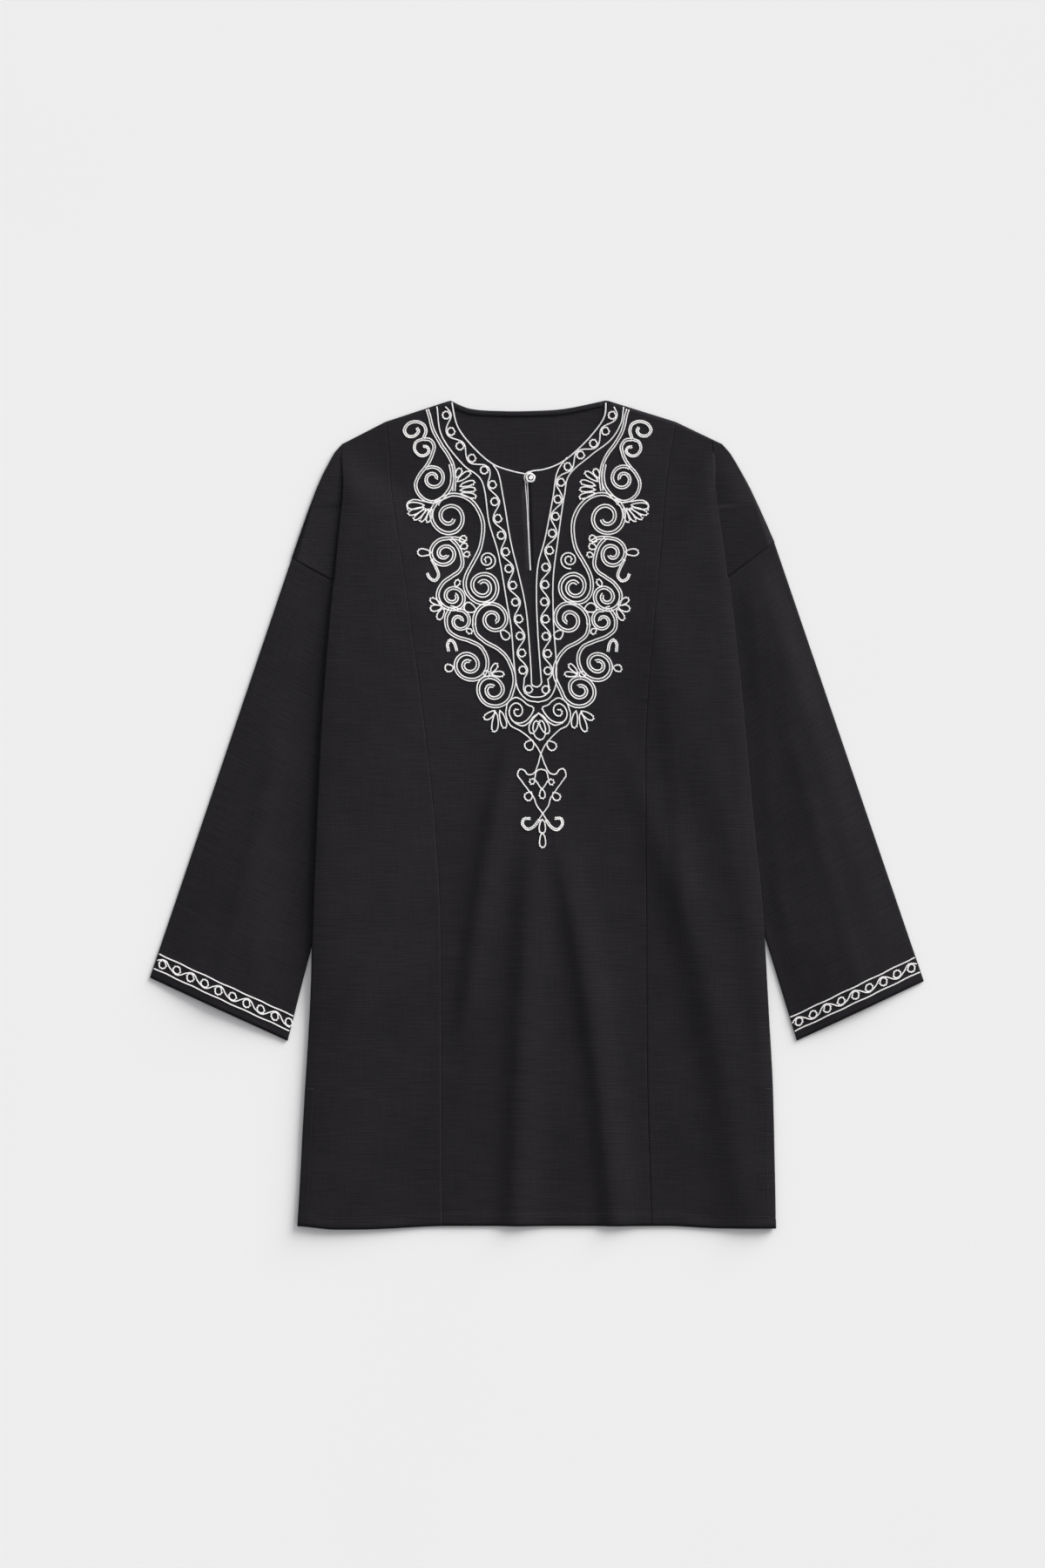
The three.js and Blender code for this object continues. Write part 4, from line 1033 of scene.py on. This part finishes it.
def painted_floor(colour):
    """A plain matt studio floor."""
    material, tree = blank_material("matt_floor_paint")
    place = add(tree, "ShaderNodeTexCoord").outputs["Object"]
    cloud = add(tree, "ShaderNodeTexNoise", {"Vector": place, "Scale": 2.0, "Detail": 2.0})
    ramp = add(tree, "ShaderNodeValToRGB", {"Fac": cloud.outputs["Fac"]})
    ramp.color_ramp.elements[0].color = colour
    ramp.color_ramp.elements[1].color = linear("#eeeeee")
    shader = add(tree, "ShaderNodeBsdfPrincipled", {"Base Color": ramp.outputs["Color"], "Roughness": 0.95,
                                                    "Specular IOR Level": 0.1})
    add(tree, "ShaderNodeOutputMaterial", {"Surface": shader.outputs[0]})
    return material


def shared(build, name, *look):
    """The material of that name, built when a piece first asks for it."""
    return bpy.data.materials.get(name) or build(name, *look)


def cloth_material(settings):
    return shared(woven_cotton_linen, "woven_cotton_linen", settings.cloth_colour, settings.slub_colour)


def thread_material(settings):
    # The second colour is painted shade between the plies.
    return shared(cotton_thread, "bleached_cotton_thread", settings.thread_colour, linear("#f1f0f2"),
                  0.45, 0.6)


def cord_material(settings):
    # The second colour is painted shade between the plies; it greys the cord.
    return shared(cotton_thread, "twisted_cotton_cord", settings.thread_colour, linear("#d4d3d8"),
                  0.6, 0.4)


def sewing_material():
    # The second colour is painted shade between the plies.
    return shared(cotton_thread, "black_sewing_thread", linear("#121013"), linear("#070607"),
                  0.6, 0.0)


# ------------------------------------------------------------------ settings, operators and panel


def length_setting(name, description, size):
    """A length setting, given in millimetres and kept in metres as Blender keeps lengths."""
    return bpy.props.FloatProperty(name=name, description=description, default=size * MM, min=0.05 * MM,
                                   precision=5, unit="LENGTH")


def colour_setting(name, description, code):
    return bpy.props.FloatVectorProperty(name=name, description=description, default=linear(code), size=4,
                                         min=0, max=1, subtype="COLOR")


class KurtaSettings(bpy.types.PropertyGroup):
    cloth: length_setting("Cloth thickness", "Thickness of one layer", 0.7)
    mesh_pitch: length_setting("Mesh pitch", "Spacing of the cloth's rows", 3.8)
    slit: length_setting("Slit width", "Width of the neck slit at its top", 3.4)
    stitch: length_setting("Stitch pitch", "Length of one chain stitch", 2.3)
    stitch_width: length_setting("Stitch width", "Width of one chain stitch", 1.72)
    thread: length_setting("Thread thickness", "Thickness of the embroidery thread", 0.90)
    cloth_colour: colour_setting("Cloth colour", "Ground colour of the cloth", "#0b090b")
    slub_colour: colour_setting("Slub colour", "Colour of the thick threads in the weave", "#1b191d")
    thread_colour: colour_setting("Thread colour", "Colour of the embroidery and the cords", "#fbfaf8")


LENGTHS = ("cloth", "mesh_pitch", "slit", "stitch", "stitch_width", "thread")


class KurtaOperator:
    bl_options = {"REGISTER", "UNDO"}

    @property
    def settings(self):
        return bpy.context.scene.kurta

    @property
    def sizes(self):
        """The lengths among the settings, in millimetres, without the noise of short floats."""
        return SimpleNamespace(**{key: round(getattr(self.settings, key) / MM, 4) for key in LENGTHS})


class KURTA_OT_back(KurtaOperator, bpy.types.Operator):
    """Lay the plain back panel and its neck binding"""
    bl_idname = "kurta.back"
    bl_label = "Back"

    def execute(self, context):
        back_panel(self.sizes, cloth_material(self.settings))
        return {"FINISHED"}


class KURTA_OT_sleeves(KurtaOperator, bpy.types.Operator):
    """Lay both sleeves, each a flat tube"""
    bl_idname = "kurta.sleeves"
    bl_label = "Sleeves"

    def execute(self, context):
        for side in (RIGHT, LEFT):
            sleeve(side, self.sizes, cloth_material(self.settings))
        return {"FINISHED"}


class KURTA_OT_front(KurtaOperator, bpy.types.Operator):
    """Lay the centre front and the two side fronts with their folded sides"""
    bl_idname = "kurta.front"
    bl_label = "Front"

    def execute(self, context):
        centre_front(self.sizes, cloth_material(self.settings))
        for side in (RIGHT, LEFT):
            side_front(side, self.sizes, cloth_material(self.settings))
        return {"FINISHED"}


class KURTA_OT_neck_cords(KurtaOperator, bpy.types.Operator):
    """Twist the white cords on the neck edge and the slit"""
    bl_idname = "kurta.neck_cords"
    bl_label = "Neck cords"

    def execute(self, context):
        material = cord_material(self.settings)
        for side, neck, way in ((RIGHT, NECK_RIGHT, 1.2), (LEFT, NECK_LEFT, -1.2)):
            line = beside(curve_through(neck, 1.5), way)[2:]
            z = np.maximum(front_surface(line[:, 0], line[:, 1]), 2.6) + 0.4
            strands = plied(np.column_stack([line, z]), 0.85, 3.0)
            piece = tubes("neck_cord_twist_" + side, strands, 0.5, 6, material)
            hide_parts("neck_cord_" + side)
        for side, sign in ((RIGHT, -1), (LEFT, 1)):
            y = np.linspace(SLIT_TOP[1] - 6, SLIT_END[1] + 1, 60)
            down = np.linspace(0, 1, 60)
            x = slit_edge(y, sign, 1.9) + 0.35 * np.sin(7.0 * down + sign) * (1 - down)
            sunk = 0.5 * smooth(0.15, 0.5, down) * (sign > 0)
            line = np.column_stack([x, y, front_surface(x, y) + 0.35 - sunk])
            strands = plied(line, 0.5, 2.2)
            piece = tubes("slit_cord_twist_" + side, strands, 0.3, 6, material)
            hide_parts("slit_cord_" + side)
        return {"FINISHED"}


class KURTA_OT_button(KurtaOperator, bpy.types.Operator):
    """Wind the knotted button and its loop"""
    bl_idname = "kurta.button"
    bl_label = "Button"

    def execute(self, context):
        material = thread_material(self.settings)
        seat = float(front_surface(*BUTTON)) + 0.5
        wound = []
        for radius, lift, begin in ((4.5, 1.0, 200), (4.2, 2.4, 20)):
            a = np.radians(begin + np.linspace(0, 365, 40))
            z = seat + lift + 0.25 * np.sin(3 * a + lift)
            wound.append(np.column_stack([polar(BUTTON, radius + 0.2 * np.sin(5 * a), a), z]))
        t = np.linspace(0, 1, 40)
        curl = polar(BUTTON, mix(2.2, 0.5, t), np.radians(90 - 420 * t))
        wound.append(np.column_stack([curl, seat + 2.2 + 0.9 * np.sin(np.pi * t)]))
        piece = tubes("knotted_button", wound, 0.85, 10, material)
        core = np.column_stack([np.tile(BUTTON, (3, 1)), seat + np.array([0.2, 1.0, 1.7])])
        inner = tubes("button_core", [core], 3.6, 16, sewing_material())
        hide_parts("button")
        ring = polar(BUTTON, LOOP_REACH, np.radians(np.linspace(95, 240, 40)))
        loop = np.column_stack([ring, above_front(1.1)(*ring.T)])
        loop_piece = tubes("thread_loop", plied(loop, 0.6, 2.4), 0.36, 6, material)
        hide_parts("button_loop")
        inner.parent = piece
        return {"FINISHED"}


class KURTA_OT_scrollwork(KurtaOperator, bpy.types.Operator):
    """Work the chain-stitch scrolls, neck bands and pendant"""
    bl_idname = "kurta.scrollwork"
    bl_label = "Scrollwork"

    def execute(self, context):
        s = self.sizes
        material = thread_material(self.settings)
        groups = {"scrollwork_" + side: scroll_lines(side) for side in (RIGHT, LEFT)}
        groups.update({"neck_band_" + side: band_lines(side) for side in (RIGHT, LEFT)})
        foot = [(-4.5, BAND_FOOT), (-4, 141), (0.8, 138.2), (5.4, 141), (6, BAND_FOOT)]
        ends = [tuple(groups["neck_band_" + side][2][-1]) for side in (RIGHT, LEFT)]
        swag = [ends[0], (-12.5, 134), (-7, 128.5), (1, 127), (9, 128.5), (14, 134), ends[1]]
        centre = [curve_through(foot), curve_through(swag)]
        centre += [ring_line(at, BAND_WAVE["ring"]) for at in ((-7.5, 135.5), (11, 135))]
        centre += [laid_out(loop_line(**loop), RIGHT) for loop in CENTRE_LOOPS]
        groups["centre_work"] = centre
        for name, lines in groups.items():
            points, faces = chain(lines, above_front(0.3), s.stitch, s.stitch_width, s.thread)
            new_object(name, points, faces, material)
        return {"FINISHED"}


class KURTA_OT_cuff_bands(KurtaOperator, bpy.types.Operator):
    """Work the chain-stitch bands on the cuffs"""
    bl_idname = "kurta.cuff_bands"
    bl_label = "Cuff bands"

    def execute(self, context):
        s = self.sizes
        for side in (RIGHT, LEFT):
            corners = SLEEVE[side]
            outer, inner = np.array(corners["outer"]), np.array(corners["inner"])
            width = np.linalg.norm(inner - outer)
            length = np.linalg.norm(np.array(corners["top"]) - outer)

            def place(line):
                """line holds distance in from the outer edge and height above the cuff edge."""
                t = 1 - line[:, 1] / length
                start, end = sleeve_line(side, t)
                return start + (end - start) * (line[:, 0] / width)[:, None]

            def surface(x, y):
                along = (inner - outer) / width
                rel = np.stack([x - outer[0], y - outer[1]], -1)
                u = rel @ along
                up = np.abs(rel @ np.array([-along[1], along[0]]))
                return sleeve_height(side, x, y, (u - 1.4) / (width - 3.1), 1 - up / length) + 0.45

            run = np.linspace(1.5, width - 2.0, 120)
            middle = np.stack([run, np.full_like(run, 0.5 * (CUFF["lower"] + CUFF["upper"]))], -1)
            rails = [np.stack([run, np.full_like(run, CUFF[k])], -1) for k in ("lower", "upper")]
            lines = rails + wave_and_rings(middle, CUFF["pitch"], **CUFF_WAVE)
            lines = [place(line + 0.25 * np.sin(line[:, :1] / 5 + line[:, 1:])) for line in lines]
            points, faces = chain(lines, surface, s.stitch, s.stitch_width, s.thread)
            new_object("cuff_band_" + side, points, faces, thread_material(self.settings))
        return {"FINISHED"}


class KURTA_OT_hem_stitching(KurtaOperator, bpy.types.Operator):
    """Sew the hem and vent stitching in black thread"""
    bl_idname = "kurta.hem_stitching"
    bl_label = "Hem stitching"

    def execute(self, context):
        stitches = []

        def sew(line, surface, gap):
            stitch = 2.2
            points, direction = even(line, stitch + gap)
            for p, d in zip(points[:-1], direction[:-1]):
                u = np.array([0, 0.25, 0.75, 1.0]) * stitch
                plan = p + d * u[:, None]
                lift = np.array([-0.15, 0.18, 0.18, -0.15])
                stitches.append(np.column_stack([plan, surface(plan[:, 0], plan[:, 1]) + lift]))

        x = np.linspace(-250, 253, 200)
        sew(np.column_stack([x, hem_at(x) + HEM_TURN]), above_front(0.35), 1.3)
        for side in (RIGHT, LEFT):
            sign = -1 if side == RIGHT else 1
            y = np.linspace(VENT_TOP, HEM_Y + HEM_TURN, 60)
            edge = read(BODY[side], y, "edge") - sign * VENT_STITCH
            sew(np.column_stack([edge, y]), above_front(0.35), 1.3)
            for row in np.linspace(VENT_TOP, VENT_TOP + 1.2, 4):
                bar_x = read(BODY[side], row, "edge") - sign * np.array([1.5, 8.5])
                sew(np.column_stack([bar_x, [row, row]]), above_front(0.4), 0.2)
        tubes("hem_stitches", stitches, 0.28, 5, sewing_material())
        return {"FINISHED"}


class KURTA_OT_stage(KurtaOperator, bpy.types.Operator):
    """Set the pale floor, the soft light and the camera straight above"""
    bl_idname = "kurta.stage"
    bl_label = "Stage"

    def execute(self, context):
        scene = bpy.context.scene
        mesh = bpy.data.meshes.new("floor")
        corners = [(x * FLOOR_HALF, y * FLOOR_HALF, -FLOOR_GAP)
                   for x, y in ((-1, -1), (1, -1), (1, 1), (-1, 1))]
        mesh.from_pydata(corners, [], [(0, 1, 2, 3)])
        mesh.materials.append(painted_floor(linear("#ebebec")))
        floor = bpy.data.objects.new("floor", mesh)
        scene.collection.objects.link(floor)

        world = bpy.data.worlds.new("soft_studio")
        world.use_nodes = True
        tree = world.node_tree
        sky = add(tree, "ShaderNodeTexCoord").outputs["Generated"]
        toward = add(tree, "ShaderNodeVectorMath", {0: sky, 1: (0.50, 0.72, 0.48)}, operation="DOT_PRODUCT")
        level = add(tree, "ShaderNodeMapRange", {
            "Value": toward.outputs["Value"], "From Min": -0.45, "From Max": 1.0,
            "To Min": 0.20, "To Max": 0.95})
        tree.links.new(level.outputs[0], tree.nodes["Background"].inputs["Strength"])
        tree.nodes["Background"].inputs["Color"].default_value = linear("#f5f5f7")
        scene.world = world
        key = bpy.data.lights.new("key", "SUN")
        key.energy = 3.9
        key.angle = np.radians(40)
        key.color = (1.0, 0.985, 0.965)
        light = bpy.data.objects.new("key", key)
        bearing, height = np.radians(46), np.radians(22)
        light.location = (2 * np.cos(bearing), 2 * np.sin(bearing), 1.5)
        light.rotation_euler = (0, np.pi / 2 - height, bearing)
        scene.collection.objects.link(light)

        camera_data = bpy.data.cameras.new("camera")
        camera_data.lens = 85
        camera_data.sensor_width = 36
        camera = bpy.data.objects.new("camera", camera_data)
        away = VIEW_HEIGHT * camera_data.lens / camera_data.sensor_width
        camera.location = (*VIEW_CENTRE, away)
        camera_data.clip_end = 50
        scene.collection.objects.link(camera)
        scene.camera = camera
        scene.view_settings.view_transform = "Standard"
        return {"FINISHED"}


STEPS = (KURTA_OT_stage, KURTA_OT_back, KURTA_OT_sleeves, KURTA_OT_front, KURTA_OT_neck_cords,
         KURTA_OT_button, KURTA_OT_scrollwork, KURTA_OT_cuff_bands, KURTA_OT_hem_stitching)


class KURTA_PT_panel(bpy.types.Panel):
    """Lists the kurta's settings and its steps"""
    bl_idname = "KURTA_PT_panel"
    bl_label = "Kurta"
    bl_space_type = "VIEW_3D"
    bl_region_type = "UI"
    bl_category = "Kurta"

    def draw(self, context):
        for key in KurtaSettings.__annotations__:
            self.layout.prop(context.scene.kurta, key)
        for step in STEPS:
            self.layout.operator(step.bl_idname)


CLASSES = (KurtaSettings,) + STEPS + (KURTA_PT_panel,)


def register():
    for cls in CLASSES:
        bpy.utils.register_class(cls)
    bpy.types.Scene.kurta = bpy.props.PointerProperty(type=KurtaSettings)


def unregister():
    del bpy.types.Scene.kurta
    for cls in reversed(CLASSES):
        bpy.utils.unregister_class(cls)


def main():
    register()
    for step in STEPS:
        group, name = step.bl_idname.split(".")
        getattr(getattr(bpy.ops, group), name)()
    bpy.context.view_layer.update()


if __name__ == "__main__":
    main()
